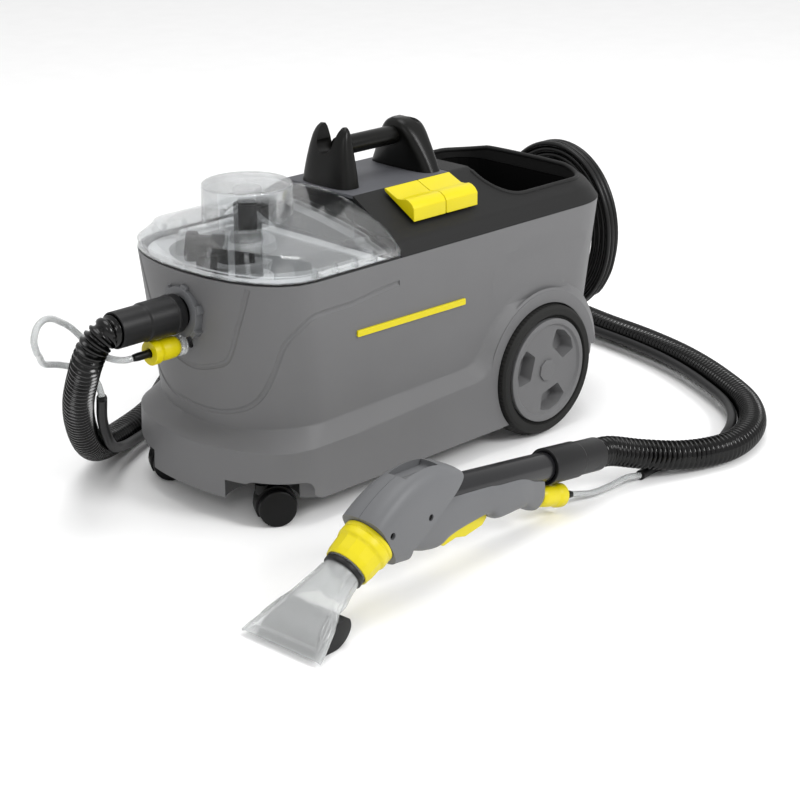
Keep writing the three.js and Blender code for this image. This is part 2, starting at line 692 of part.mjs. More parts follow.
function nozzleLoft(inset) {
  const levels = NOZZLE_STATIONS.map(([u, width, thick], i) => {
    const last = NOZZLE_STATIONS.length - 1;
    const overrun = { 0: -1, [last]: 1 }[i] ?? 0; // an inner space runs out past both ends
    const outline = [];
    for (let k = 0; k < 24; k += 1) {
      const angle = (2 * Math.PI * k) / 24;
      const power = 0.35 + (0.65 * u) / 114;
      const wave = (v) => Math.sign(v) * Math.abs(v) ** power;
      outline.push([(thick - inset) * wave(Math.cos(angle)), (width - inset) * wave(Math.sin(angle))]);
    }
    return { z: inset > 0 ? u + overrun : u, outline };
  });
  return loft(levels);
}

function placeNozzle(shape) {
  const [x, , z] = alongNose(NOZZLE.mouth);
  return shape.rotate([0, 90 - NOSE_TILT, 0]).translate([x, 0, z]);
}

function belowFloor() {
  return box(-100, 900, -200, 200, -100, 0.3);
}

function nozzleFront() {
  const shell = cut(nozzleLoft(0), nozzleLoft(NOZZLE.wall), box(-0.2, 60, -80, 80, -10, 200));
  return cut(placeNozzle(shell), belowFloor());
}

function nozzleBack() {
  const shell = cut(nozzleLoft(0), box(-60, 0.2, -80, 80, -10, 200));
  const neck = ring(17, 23.5, 114.3, 150, 32);
  const heel = sidePlate([[16, 0.3], [52, 0.3], [66, 8], [73, 20], [70, 32], [50, 24], [20, 6]], -45, 45);
  const spigot = ring(17, 21, 100, 130, 32).intersect(box(0.2, 60, -60, 60, 90, 140));
  const jetHole = rod([40, 0, 6], [72, 0, 22], 4, 12);
  const body = join(placeNozzle(join(shell, neck, spigot)), heel);
  return cut(body, placeNozzle(nozzleLoft(NOZZLE.wall)), jetHole, belowFloor());
}

function sprayJet() {
  return rod([50, 0, 11], [66, 0, 19], 3.5, 12);
}

// ---------- hose, spray line and mains lead ----------
function tube(points, r, sides, steps) {
  const path = new THREE.CatmullRomCurve3(points.map((p) => new THREE.Vector3(...p)), false, 'centripetal');
  return tubeAlong(path, r, sides, steps);
}

function tubeAlong(path, r, sides, steps) {
  const section = new THREE.Shape();
  for (let i = 0; i < sides; i += 1) {
    const angle = (2 * Math.PI * i) / sides;
    section[i ? 'lineTo' : 'moveTo'](r * Math.cos(angle), r * Math.sin(angle));
  }
  return new THREE.ExtrudeGeometry(section, { steps, extrudePath: path, bevelEnabled: false });
}

const HOSE_ROUTE = [
  [-585.6, 0, 250], [-594, 0.2, 249.6], [-606, 7, 236], [-610, 16, 217], [-605, 35, 189],
  [-595, 60, 153], [-574, 90, 112], [-541, 123, 67], [-490, 170, 32], [-428, 207, 20],
  [-350, 243, 20], [-262, 310, 20], [-165, 390, 20], [-60, 465, 20], [62, 505, 20],
  [190, 490, 20], [298, 420, 20], [362, 315, 20], [384, 205, 20], [377, 110, 20],
  [364, 35, 20], [352, -50, 20], [330, -137, 20], [290, -229, 20], [236, -314, 20],
  [168, -366, 20], [96, -382, 20], [28, -366, 24], [-30, -342, 35], [-82, -328.5, 50.2],
  [-108.2, -328.9, 54.2],
];

// The sleeve runs beside the hose, on the inner side of its bends.
function besideHose(from, to) {
  const points = HOSE_ROUTE.slice(from, to).map((p) => new THREE.Vector3(...p));
  return points.map((p, i) => {
    const before = points[Math.max(0, i - 1)];
    const after = points[Math.min(points.length - 1, i + 1)];
    const heading = after.clone().sub(before);
    const side = new THREE.Vector3(heading.y, -heading.x, 0).normalize();
    return p.clone().addScaledVector(side, HOSE_R + SLEEVE_R + 1.5).toArray();
  });
}

// It drops to the floor and passes under the hose where the hose rises to the tool.
const SLEEVE_ROUTE = [
  ...besideHose(5, 26), [96, -355, 9], [50, -346, 7], [20, -341, 6.8], [-5, -338.5, 6.8], [-33, -342, 7],
];
const FRONT_SPRAY_ROUTE = [
  [-559.8, 0, 210], [-569, 2.5, 209.8], [-582, 34, 214], [-590, 52, 230], [-606, 52, 247], [-630, 38, 261],
  [-655, 18, 274], [-682, 2, 280], [-697, -6, 270], [-693, 0, 254], [-672, 25, 236], [-640, 60, 208],
  [-612, 70, 198], [-592, 66, 190], [-580, 57, 181], [-575, 48.6, 171], [-574.3, 44.4, 162],
  [-573.9, 43, 155.6],
];
const REAR_SPRAY_ROUTE = [
  [-34.8, -342, 7.1], [-56, -340, 10.5], [-85, -338, 8], [-120, -335, 7.5], [-140, -332.5, 11.4],
  [-155.3, -331.4, 15.5],
];
const LEAD_ROUTE = [[172.5, 0, 200], [184, 0, 199], [193, -6, 190], [196, -20, 170], [196, -32, 151.5]];

// The lead hangs in a round bundle from the hook, against the rear of the housing.
const HANK = { x: 196, y: 0, z: 219, across: 88, up: 104, thick: 12 };

function mainsHank() {
  const shape = new THREE.Shape();
  const oval = (grow, target) => {
    target.absellipse(0, 0, HANK.across + grow, HANK.up + grow, 0, 2 * Math.PI, false);
  };
  oval(HANK.thick, shape);
  const hole = new THREE.Path();
  oval(-HANK.thick, hole);
  shape.holes.push(hole);
  const ovalRing = new THREE.ExtrudeGeometry(shape, { depth: 24, bevelEnabled: false, curveSegments: 24 });
  ovalRing.rotateX(Math.PI / 2).rotateZ(Math.PI / 2).translate(HANK.x - 12, HANK.y, HANK.z);
  return ovalRing;
}

// ---------- assembly ----------
piece('main_housing', mainHousing(), GREY);
piece('base_plate', basePlate(), BLACK);
piece('top_cover', topCover(), COVER);
piece('fresh_water_tank', freshTank(), BLACK);
piece('deck_panel', deckPanel(), DECK);
piece('handle_front_post', handleFrontPost(), BLACK);
piece('handle_bar', handleBar(), BLACK);
piece('handle_rear_post', handleRearPost(), BLACK);
piece('rocker_spray', rocker(-217, -160.5), YELLOW);
piece('rocker_vacuum', rocker(-159.5, -103), YELLOW);
piece('switch_block', switchBlock(), BLACK);
piece('lid_cover', lidCover(), CLEAR);
piece('lid_seal', lidSeal(), BLACK);
piece('recovery_tank', recoveryTank(), WHITE);
piece('suction_riser', suctionRiser(), BLACK);
piece('inlet_elbow', inletElbow(), BLACK);
piece('float_ring', ring(18, 30, 250, 272, 24).translate([DOME.x, 0, 0]), WHITE);
piece('tank_bail', tankBail(), WHITE);
for (const [side, hand] of [[-1, 'left'], [1, 'right']]) {
  piece(`stub_axle_${hand}`, stubAxle(side), STEEL);
  piece(`rear_tyre_${hand}`, rearTyre(side), TYRE);
  piece(`rear_hub_${hand}`, rearHub(side), HUB);
  piece(`caster_hood_${hand}`, casterHood(side), BLACK);
  piece(`caster_rollers_${hand}`, casterRoller(side), BLACK);
}
piece('turbine_housing', turbineHousing(), DARK);
piece('motor_can', motorCan(), STEEL);
piece('motor_rotor', motorRotor(), STEEL);
piece('pump_body', pumpBody(), BLACK);
piece('pump_piston', pumpPiston(), STEEL);
piece('water_strainer', waterStrainer(), WHITE);
piece('inlet_port', inletPort(), HUB);
piece('hose_cuff', hoseCuff(), DARK);
piece('spray_nipple', sprayNipple(), BLACK);
piece('spray_coupling', couplingSleeve(-494, 40).translate([0, 0, SPRAY_Z]), YELLOW);
piece('cable_hook', cableHook(), BLACK);
piece('cord_gland', cordGland(), BLACK);
piece('mains_plug', mainsPlug(), BLACK);

piece('grip_tube', gripTube(), DARK, tool);
piece('tool_cuff', toolCuff(), DARK, tool);
piece('tool_shell_left', toolShell(-1), HUB, tool);
piece('tool_shell_right', toolShell(1), HUB, tool);
piece('trigger', trigger(), YELLOW, tool);
piece('spray_valve', sprayValve(), BRASS, tool);
piece('valve_stem', valveStem(), STEEL, tool);
piece('tool_nipple', toolNipple(), BLACK, tool);
const toolSleeve = couplingSleeve(0, 46).rotate([0, 180 + SPOUT_TILT, 0]).translate(alongSpout(39));
piece('tool_coupling', toolSleeve, YELLOW, tool);
piece('union_nut', unionNut(), YELLOW, tool);
piece('nozzle_front', nozzleFront(), CLEAR, tool);
piece('nozzle_back', nozzleBack(), DARK, tool);
piece('spray_jet', sprayJet(), BRASS, tool);

piece('suction_hose', tube(HOSE_ROUTE, HOSE_R, 10, 80), BLACK);
piece('spray_sleeve', tube(SLEEVE_ROUTE, SLEEVE_R, 8, 70), DARK);
piece('spray_tube_front', tube(FRONT_SPRAY_ROUTE, SPRAY_R, 8, 40), CLEAR);
piece('spray_tube_rear', tube(REAR_SPRAY_ROUTE, SPRAY_R, 8, 14), CLEAR);
piece('mains_lead', tube(LEAD_ROUTE, LEAD_R, 8, 10), BLACK);
piece('mains_hank', mainsHank(), BLACK);

// Centre the footprint of everything but the free cords on the origin.
const CORDS = [
  'suction_hose', 'spray_sleeve', 'spray_tube_front', 'spray_tube_rear',
  'mains_lead', 'mains_hank', 'mains_plug',
];
machine.updateMatrixWorld(true);
const bounds = new THREE.Box3();
machine.traverse((node) => {
  if (node.isMesh && !CORDS.includes(node.name)) bounds.expandByObject(node, true);
});
const middle = bounds.getCenter(new THREE.Vector3());
machine.position.set(-middle.x, -middle.y, -bounds.min.z);

export default machine;
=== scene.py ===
"""Looks of a spot extractor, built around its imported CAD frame.

Lengths are millimetres in the machine frame (x = 0 on the wheel axis, +X to the rear, y = 0 on the
centre plane, z = 0 on the floor) until place() turns them into metres in the row frame. The hand
tool has a frame of its own, which tool_place() turns into the machine frame.
"""
import math

import bmesh
import bpy
import numpy as np
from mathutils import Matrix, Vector


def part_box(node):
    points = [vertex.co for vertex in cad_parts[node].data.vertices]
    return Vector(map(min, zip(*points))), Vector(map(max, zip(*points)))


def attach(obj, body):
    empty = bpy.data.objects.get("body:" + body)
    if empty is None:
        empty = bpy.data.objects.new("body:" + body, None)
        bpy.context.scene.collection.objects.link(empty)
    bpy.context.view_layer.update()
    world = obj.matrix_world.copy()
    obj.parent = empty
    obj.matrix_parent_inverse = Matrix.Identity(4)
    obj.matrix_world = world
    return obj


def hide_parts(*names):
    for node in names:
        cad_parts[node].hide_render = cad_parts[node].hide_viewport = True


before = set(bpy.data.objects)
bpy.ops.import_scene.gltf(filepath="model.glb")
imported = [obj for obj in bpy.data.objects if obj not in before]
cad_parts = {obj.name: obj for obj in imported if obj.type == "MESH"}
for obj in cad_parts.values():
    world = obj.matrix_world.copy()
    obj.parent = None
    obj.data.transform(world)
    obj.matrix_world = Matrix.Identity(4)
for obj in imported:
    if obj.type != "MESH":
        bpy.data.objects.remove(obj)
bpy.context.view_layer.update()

# ---------- driving dimensions, as in the CAD model ----------
MM = 0.001
SEAM_Z = 299
LID_X = -264
BAY_X = -68
WALL = 4
CREASE = {"z": 316, "half": 138, "tail": 156}
DECK = {"z": 360, "half": 62, "tail": 80}
WHEEL_R = 92
ARCH_R = 100
FENDER = {"inner": 104, "outer": 121, "lip": 90, "half": 150, "foot": 103}
CASTER = {"x": -452, "y": 100, "pocket": 44.5}
HANDLE = {"front": -242, "bar_z": 404}
DOME = {"x": -377, "r": 55, "top": 387, "wall": 2.5}
BROW = {"nose": -472, "half": 130, "z": 327, "rise": 34}
HOSE_R = 19
SLEEVE_R = 6.5
SPRAY_R = 4
LEAD_R = 4
INLET_Z = 250
SPRAY_Z = 210
TOOL_MOUTH = (-664, -358)
TOOL_YAW = math.radians(3)
NOSE_TILT = math.radians(29)
GRIP_TILT = math.radians(8.3)
SPOUT_TILT = math.radians(15.8)
BEND = (195, 107)
HANK = {"x": 196, "z": 219, "across": 88, "up": 106, "turns": 12}

NOSE_RUN, NOSE_POWER = 84, 2.2
TAIL_RUN, TAIL_POWER = 100, 2.6


# ---------- places ----------
def centre_of(node):
    low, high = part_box(node)
    return (low + high) / 2


ORIGIN = np.array([centre_of("rear_tyre_left").x, centre_of("main_housing").y, 0])


def place(points):
    return np.asarray(points, float) * MM + ORIGIN


def tool_place(points):
    points = np.asarray(points, float)
    c, s = math.cos(TOOL_YAW), math.sin(TOOL_YAW)
    turn = np.array([[c, s, 0], [-s, c, 0], [0, 0, 1]])
    return points @ turn + np.array([*TOOL_MOUTH, 0])


def along_nose(distance, lift=0.0):
    c, s = math.cos(NOSE_TILT), math.sin(NOSE_TILT)
    return np.array([BEND[0] - distance * c - lift * s, 0, BEND[1] - distance * s + lift * c])


def along_grip(distance, lift=0.0):
    c, s = math.cos(GRIP_TILT), math.sin(GRIP_TILT)
    return np.array([BEND[0] + distance * c + lift * s, 0, BEND[1] - distance * s + lift * c])


def along_spout(distance):
    return np.array([404 + distance * math.cos(SPOUT_TILT), 0, 45.3 - distance * math.sin(SPOUT_TILT)])


# ---------- materials ----------
def linear(hex_colour):
    channels = [int(hex_colour[i : i + 2], 16) / 255 for i in (1, 3, 5)]
    return [c / 12.92 if c <= 0.04045 else ((c + 0.055) / 1.055) ** 2.4 for c in channels] + [1.0]


def plastic(
    name, colour, roughness=0.5, grain=900, bump=0.12, mottle=0.06, metallic=0.0, gloss=0.5, **shader
):
    """A moulded surface: fine grain in its relief, and slow variation in colour and roughness."""
    material = bpy.data.materials.new(name)
    material.use_nodes = True
    nodes, links = material.node_tree.nodes, material.node_tree.links
    surface = nodes["Principled BSDF"]
    surface.inputs["Metallic"].default_value = metallic
    surface.inputs["Specular IOR Level"].default_value = gloss
    for socket, value in shader.items():
        surface.inputs[socket.replace("_", " ")].default_value = value
    coordinates = nodes.new("ShaderNodeTexCoord")

    slow = nodes.new("ShaderNodeTexNoise")
    slow.inputs["Scale"].default_value = 14
    slow.inputs["Detail"].default_value = 4
    links.new(coordinates.outputs["Object"], slow.inputs["Vector"])
    tint = nodes.new("ShaderNodeValToRGB")
    base = linear(colour)
    for stop, factor in zip(tint.color_ramp.elements, (1 - mottle, 1 + mottle)):
        stop.color = [min(1.0, channel * factor) for channel in base[:3]] + [1.0]
    tint.color_ramp.elements[0].position = 0.3
    tint.color_ramp.elements[1].position = 0.7
    links.new(slow.outputs["Fac"], tint.inputs["Fac"])
    links.new(tint.outputs["Color"], surface.inputs["Base Color"])
    sheen = nodes.new("ShaderNodeMapRange")
    sheen.inputs["To Min"].default_value = max(0.0, roughness - 0.05)
    sheen.inputs["To Max"].default_value = roughness + 0.05
    links.new(slow.outputs["Fac"], sheen.inputs["Value"])
    links.new(sheen.outputs["Result"], surface.inputs["Roughness"])

    fine = nodes.new("ShaderNodeTexNoise")
    fine.inputs["Scale"].default_value = grain
    fine.inputs["Detail"].default_value = 2
    links.new(coordinates.outputs["Object"], fine.inputs["Vector"])
    relief = nodes.new("ShaderNodeBump")
    relief.inputs["Strength"].default_value = bump
    relief.inputs["Distance"].default_value = 0.0004
    links.new(fine.outputs["Fac"], relief.inputs["Height"])
    links.new(relief.outputs["Normal"], surface.inputs["Normal"])
    return material


def clear(name, colour, roughness, alpha, clarity=1.0):
    shader = {"Transmission_Weight": clarity, "IOR": 1.45, "Alpha": alpha}
    return plastic(name, colour, roughness, grain=60, bump=0.02, mottle=0.02, gloss=0.25, **shader)


MATERIALS = {
    "housing_grey": plastic("housing_grey", "#646465", 0.5, grain=1500, bump=0.5, mottle=0.03, gloss=0.35),
    "cover_black": plastic("cover_black", "#181818", 0.55, grain=1500, bump=0.4, gloss=0.2),
    "deck_grey": plastic("deck_grey", "#4e4f53", 0.55, grain=1500, bump=0.5, mottle=0.03, gloss=0.25),
    # Painted shade: the fresh water tank is made near black so that the cavity seen down the filler mouth
    # stays dark although the lamps light it.
    "tank_black": plastic("tank_black", "#050505", 0.6, gloss=0.1),
    "soft_black": plastic("soft_black", "#070707", 0.38, grain=1100, bump=0.2, gloss=0.2),
    "handle_black": plastic("handle_black", "#080807", 0.3, grain=1300, bump=0.25, gloss=0.2),
    "signal_yellow": plastic(
        "signal_yellow", "#ccbd00", 0.38, grain=1200, bump=0.1, mottle=0.03, gloss=0.35
    ),
    "clear_plastic": clear("clear_plastic", "#d6dadc", 0.02, 0.45),
    "clear_tube": clear("clear_tube", "#e4e6e6", 0.22, 0.9, 0.7),
    "rubber_black": plastic("rubber_black", "#040404", 0.35, gloss=0.3),
    "tank_white": plastic("tank_white", "#eeeff0", 0.35, bump=0.08, mottle=0.02),
    "tyre_grey": plastic("tyre_grey", "#1c1c1b", 0.7, grain=700, bump=0.6, gloss=0.25),
    "tool_grey": plastic("tool_grey", "#5f6062", 0.45, grain=1400, bump=0.35, mottle=0.03, gloss=0.35),
    "steel": plastic("steel", "#b4b6b8", 0.3, grain=400, bump=0.05, metallic=1.0),
    "brass": plastic("brass", "#b58f45", 0.3, grain=400, bump=0.05, metallic=1.0),
    "hose_black": plastic("hose_black", "#020202", 0.16, grain=500, bump=0.05, gloss=0.32),
    "cuff_dark": plastic("cuff_dark", "#111112", 0.4, grain=900, bump=0.2, gloss=0.25),
    "grip_dark": plastic("grip_dark", "#151517", 0.25, grain=900, bump=0.1, gloss=0.4),
}


# ---------- meshes ----------
def add_object(name, mesh):
    piece = bpy.data.objects.new(name, mesh)
    bpy.context.scene.collection.objects.link(piece)
    return piece


def add_mesh(name, points, faces, weld=True):
    """A mesh from machine-frame points, cleaned so that it is closed and faces outwards."""
    mesh = bpy.data.meshes.new(name)
    mesh.from_pydata(place(points).tolist(), [], [list(face) for face in faces])
    shape = bmesh.new()
    shape.from_mesh(mesh)
    if weld:
        bmesh.ops.remove_doubles(shape, verts=shape.verts, dist=2e-6)
        bmesh.ops.dissolve_degenerate(shape, edges=shape.edges, dist=1e-6)
    bmesh.ops.recalc_face_normals(shape, faces=shape.faces)
    shape.to_mesh(mesh)
    shape.free()
    return add_object(name, mesh)


def unit(vector):
    vector = np.asarray(vector, float)
    return vector / np.linalg.norm(vector)


def loft(name, rings, closed=False):
    """Skins rings of equally many points; the ends are capped, or joined when closed."""
    rings = [np.asarray(ring, float) for ring in rings]
    count, size = len(rings), len(rings[0])
    faces = []
    for r in range(count if closed else count - 1):
        below, above = r * size, ((r + 1) % count) * size
        for i in range(size):
            j = (i + 1) % size
            faces.append((below + i, below + j, above + j, above + i))
    if not closed:
        faces.append(tuple(reversed(range(size))))
        faces.append(tuple(range((count - 1) * size, count * size)))
    return add_mesh(name, np.vstack(rings), faces)


def fillet(points, radius, steps=4):
    """Rounds the inner corners of an open polyline of [a, b] pairs."""
    points = [np.asarray(p, float) for p in points]
    rounded = [points[0]]
    for before, corner, after in zip(points, points[1:], points[2:]):
        back, ahead = before - corner, after - corner
        reach = min(radius, 0.45 * np.linalg.norm(back), 0.45 * np.linalg.norm(ahead))
        start, end = corner + unit(back) * reach, corner + unit(ahead) * reach
        for i in range(steps + 1):
            t = i / steps
            rounded.append((1 - t) ** 2 * start + 2 * t * (1 - t) * corner + t**2 * end)
    return rounded + [points[-1]]


def fillet_loop(points, radius, steps=4):
    """Rounds every corner of a closed outline."""
    return [tuple(p) for p in fillet([points[-1], *points, points[0]], radius, steps)[1:-1]]


def rod(r, length):
    """The profile of a solid cylinder."""
    return [(0, 0), (r, 0), (r, length), (0, length)]


def pipe(bore, r, length):
    """The closed profile of a cylinder with a bore."""
    return [(bore, 0), (r, 0), (r, length), (bore, length), (bore, 0)]


def nipple(length):
    """The profile of a hose stub with a tapered end."""
    return [(0, 0), (5, 0), (5, length - 7), (4.2, length), (0, length)]


def lathe(name, profile, at, along, sides=96, radius=1.2, tool=False, shape=None):
    """Turns [radius, height] points about an axis. shape(height, angle) scales the radius."""
    along = unit(along)
    across = unit(np.cross(along, (0.31, 0.95, 0.07)))
    up = np.cross(along, across)
    angles = np.linspace(0, 2 * math.pi, sides, endpoint=False)
    closed = tuple(profile[0]) == tuple(profile[-1])
    rings = []
    for r, h in fillet_loop(profile[:-1], radius) if closed else fillet(profile, radius):
        radii = np.array([r * (shape(h, a) if shape else 1) for a in angles])[:, None]
        circle = np.cos(angles)[:, None] * across + np.sin(angles)[:, None] * up
        ring = np.asarray(at, float) + h * along + radii * circle
        rings.append(tool_place(ring) if tool else ring)
    return loft(name, rings, closed)


def apply_modifiers(piece):
    graph = bpy.context.evaluated_depsgraph_get()
    mesh = bpy.data.meshes.new_from_object(piece.evaluated_get(graph))
    piece.modifiers.clear()
    piece.data = mesh


def boolean(piece, tool, operation="DIFFERENCE"):
    modifier = piece.modifiers.new("boolean", "BOOLEAN")
    modifier.operation = operation
    modifier.solver = "MANIFOLD"
    modifier.object = tool
    apply_modifiers(piece)
    bpy.data.objects.remove(tool)
    return piece


def bevel(piece, width, segments=3, angle=30):
    modifier = piece.modifiers.new("bevel", "BEVEL")
    modifier.width = width * MM
    modifier.segments = segments
    modifier.limit_method = "ANGLE"
    modifier.angle_limit = math.radians(angle)
    apply_modifiers(piece)
    return piece


def block(x0, x1, y0, y1, z0, z1):
    corners = [(x0, y0), (x1, y0), (x1, y1), (x0, y1)]
    return loft("block", [[(x, y, z) for x, y in corners] for z in (z0, z1)])


def prism(outline, y0, y1, outline_end=None):
    """A solid between two outlines of [x, z] points in the planes y0 and y1."""
    ends = ((outline, y0), (outline_end or outline, y1))
    return loft("prism", [[(x, y, z) for x, z in points] for points, y in ends])


def cylinder(start, end, r, sides=96):
    start, end = np.asarray(start, float), np.asarray(end, float)
    length = np.linalg.norm(end - start)
    return lathe("cylinder", rod(r, length), start, end - start, sides, radius=0)


def rounded_copy(node, width, segments=3):
    """A detailed piece made from a CAD node's own solid, with its edges rounded."""
    shape = bmesh.new()
    shape.from_mesh(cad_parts[node].data)
    bmesh.ops.remove_doubles(shape, verts=shape.verts, dist=1e-6)
    bmesh.ops.dissolve_limit(shape, angle_limit=math.radians(1), verts=shape.verts, edges=shape.edges)
    mesh = bpy.data.meshes.new(node)
    shape.to_mesh(mesh)
    shape.free()
    return bevel(add_object(f"{node}_shape", mesh), width, segments)


def dress(piece, body, material, *nodes, name=None, sharp=32):
    """Gives a finished mesh its material and its body, and hides the CAD nodes that it stands for."""
    piece.data.materials.clear()
    piece.data.materials.append(MATERIALS[material])
    piece.data.shade_smooth()
    piece.data.set_sharp_from_angle(angle=math.radians(sharp))
    if name:
        piece.name = name
    if nodes:
        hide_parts(*nodes)
    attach(piece, body)
    return piece


def smooth_route(points, spacing):
    """A centripetal Catmull-Rom curve through points, resampled at even spacing."""
    points = np.asarray(points, float)
    points = np.vstack([2 * points[0] - points[1], points, 2 * points[-1] - points[-2]])
    curve = []
    for p0, p1, p2, p3 in zip(points, points[1:], points[2:], points[3:]):
        knots = [0.0]
        for a, b in ((p0, p1), (p1, p2), (p2, p3)):
            knots.append(knots[-1] + math.sqrt(np.linalg.norm(b - a)))
        t0, t1, t2, t3 = knots
        t = np.linspace(t1, t2, 24, endpoint=False)[:, None]
        a1 = (t1 - t) / (t1 - t0) * p0 + (t - t0) / (t1 - t0) * p1
        a2 = (t2 - t) / (t2 - t1) * p1 + (t - t1) / (t2 - t1) * p2
        a3 = (t3 - t) / (t3 - t2) * p2 + (t - t2) / (t3 - t2) * p3
        b1 = (t2 - t) / (t2 - t0) * a1 + (t - t0) / (t2 - t0) * a2
        b2 = (t3 - t) / (t3 - t1) * a2 + (t - t1) / (t3 - t1) * a3
        curve.append((t2 - t) / (t2 - t1) * b1 + (t - t1) / (t2 - t1) * b2)
    curve = np.vstack(curve + [points[-2]])
    run = np.concatenate([[0], np.cumsum(np.linalg.norm(np.diff(curve, axis=0), axis=1))])
    stations = np.linspace(0, run[-1], max(2, round(run[-1] / spacing) + 1))
    return np.column_stack([np.interp(stations, run, curve[:, k]) for k in range(3)])


def route_length(route):
    return float(np.linalg.norm(np.diff(route, axis=0), axis=1).sum())


def sweep(name, route, radii, sides=16, bore=None, closed=False):
    """A tube of the given radius (one, or one per station) along a route, with an optional bore."""
    route = np.asarray(route, float)
    radii = np.broadcast_to(radii, len(route))
    if closed:
        headings = np.roll(route, -1, axis=0) - np.roll(route, 1, axis=0)
    else:
        headings = np.gradient(route, axis=0)
    headings /= np.linalg.norm(headings, axis=1)[:, None]
    up = unit(np.cross(headings[0], (0.2, 0.1, 0.97)))
    angles = np.linspace(0, 2 * math.pi, sides, endpoint=False)
    outer, inner = [], []
    for point, heading, r in zip(route, headings, radii):
        up = unit(up - heading * up.dot(heading))
        side = np.cross(heading, up)
        circle = np.cos(angles)[:, None] * up + np.sin(angles)[:, None] * side
        outer.append(point + r * circle)
        if bore:
            inner.append(point + bore * circle)
    if bore:
        return loft(name, outer + inner[::-1], closed=True)
    return loft(name, outer, closed)


# ---------- outlines and the housing's skin ----------
def plan(nose, tail, half, steps=60, flank_steps=110):
    """Points of the plan outline, from the near flank round the nose, the far flank and the tail."""
    angles = np.radians(np.linspace(-90, 90, steps + 1))
    c, s = np.abs(np.cos(angles)), np.sin(angles)
    nose_x = nose + NOSE_RUN - NOSE_RUN * c ** (2 / NOSE_POWER)
    nose_y = half * np.sign(s) * np.abs(s) ** (2 / NOSE_POWER)
    tail_x = tail - TAIL_RUN + TAIL_RUN * c ** (2 / TAIL_POWER)
    tail_y = -half * np.sign(s) * np.abs(s) ** (2 / TAIL_POWER)
    flank = np.linspace(nose + NOSE_RUN, tail - TAIL_RUN, flank_steps + 2)[1:-1]
    near = np.column_stack([flank[::-1], np.full(flank_steps, -half)])
    far = np.column_stack([flank, np.full(flank_steps, half)])
    return np.vstack([near, np.column_stack([nose_x, nose_y]), far, np.column_stack([tail_x, tail_y])])


def ring_at(outline, z):
    z = np.broadcast_to(z, len(outline))
    return np.column_stack([outline, z])


def upper_size(z):
    t = (z - 125) / (SEAM_Z - 125)
    return {"nose": -464 - 20 * t, "tail": 146 + 19 * t, "half": 137 + 9 * t}


def skirt_size(z):
    t = min(1, (z - 31) / 71)
    return {"nose": -489 + 2 * t, "tail": 152 + 6 * t, "half": 151 - t}


BAND_X = (-490, -462, -442, -410, -324, -158, -100)
BAND_TOP = (104, 107, 114.5, 119.7, 121.5, 124.4, 127)
BAND_FOOT_X = (-490, -480, -460, -426, -338, -300, -200, -94)
BAND_FOOT = (91, 93.5, 95.3, 96.8, 97, 99, 103.7, 107.7)
BLEND = 1.5  # how softly the band runs into the fender


def protrusion(x, z):
    """1 where the skin stands out as skirt or fender, 0 on the upper body."""
    foot = np.interp(x, BAND_FOOT_X, BAND_FOOT)
    band = (z - foot) / (np.interp(x, BAND_X, BAND_TOP) - foot)
    reach = np.hypot(x, z - WHEEL_R)
    fender = (reach - FENDER["inner"]) / (FENDER["outer"] - FENDER["inner"])
    fender = np.where(x > 44, 9.0, fender)
    mix = np.clip(0.5 + 0.5 * (fender - band) / BLEND, 0, 1)
    nearest = fender * (1 - mix) + band * mix - BLEND * mix * (1 - mix)
    return np.clip(1 - nearest, 0, 1)


def skin_ring(z):
    upper = plan(**upper_size(z))
    skirt = plan(**skirt_size(z))
    ring = upper
    for _ in range(3):
        weight = protrusion(ring[:, 0], z)[:, None]
        ring = upper * (1 - weight) + skirt * weight
    return ring_at(ring, z)


def on_upper_body(x, y, z, proud=0.0):
    """The point of the upper body's surface nearest to (x, y) at height z, moved outwards."""
    size = upper_size(z)
    point = np.array([x, y], float)
    for _ in range(6):
        value, gradient = outline_field(point, **size)
        point -= value * gradient / gradient.dot(gradient)
    _, gradient = outline_field(point, **size)
    point += proud * unit(gradient)
    return [point[0], point[1], z]


def outline_field(point, nose, tail, half):
    """Zero on the plan outline and positive outside, with its gradient."""
    x, y = point
    centre_nose, centre_tail = nose + NOSE_RUN, tail - TAIL_RUN
    if x < centre_nose:
        run, power, away = NOSE_RUN, NOSE_POWER, x - centre_nose
    elif x > centre_tail:
        run, power, away = TAIL_RUN, TAIL_POWER, x - centre_tail
    else:
        return abs(y) / half - 1, np.array([0, math.copysign(1 / half, y)])
    a, b = abs(away) / run, max(abs(y), 1e-6) / half
    norm = (a**power + b**power) ** (1 / power)
    scale = norm ** (1 - power)
    gradient = np.array([
        scale * a ** (power - 1) * math.copysign(1 / run, away),
        scale * b ** (power - 1) * math.copysign(1 / half, y),
    ])
    return norm - 1, gradient


# Moulded lines on the nose as (x, y, z) near the surface, on the near side up to the centre plane.
OUTER_LINE = [
    (-264, -145, 268), (-300, -145, 265), (-343, -144, 259.6), (-379, -144, 259), (-405, -143, 257),
    (-421, -138, 244.5), (-434, -127, 226.5), (-441.5, -112.5, 187), (-447, -99, 160), (-452, -83, 143.7),
    (-460, -50, 130), (-464, -20, 126), (-464, 0, 125.5),
]
INLET_LINE = [
    (-465, -98.8, 294), (-468, -90, 266), (-468, -80.4, 241.7), (-470, -70.8, 214.8), (-470, -59.8, 197),
    (-470, -35, 185.8), (-470, -14, 180), (-470, 0, 178.5),
]
LINE_R = 5
LINE_PROUD = 3.3


def moulded_line(points):
    mirrored = [(x, -y, z) for x, y, z in points[-2::-1]]
    route = smooth_route(points + mirrored, 5)
    route = [on_upper_body(x, y, z, LINE_PROUD) for x, y, z in route]
    return sweep("line", route, LINE_R, sides=12)


RECESS_OUTER = [
    (-105, 190), (-105, 223), (-96, 248), (-79, 262), (-28, 267), (71, 267), (150, 258), (150, 190),
]
RECESS_INNER = [
    (-92, 194), (-90, 226), (-80, 243), (-68, 251), (-27, 256), (66, 256), (140, 250), (140, 194),
]


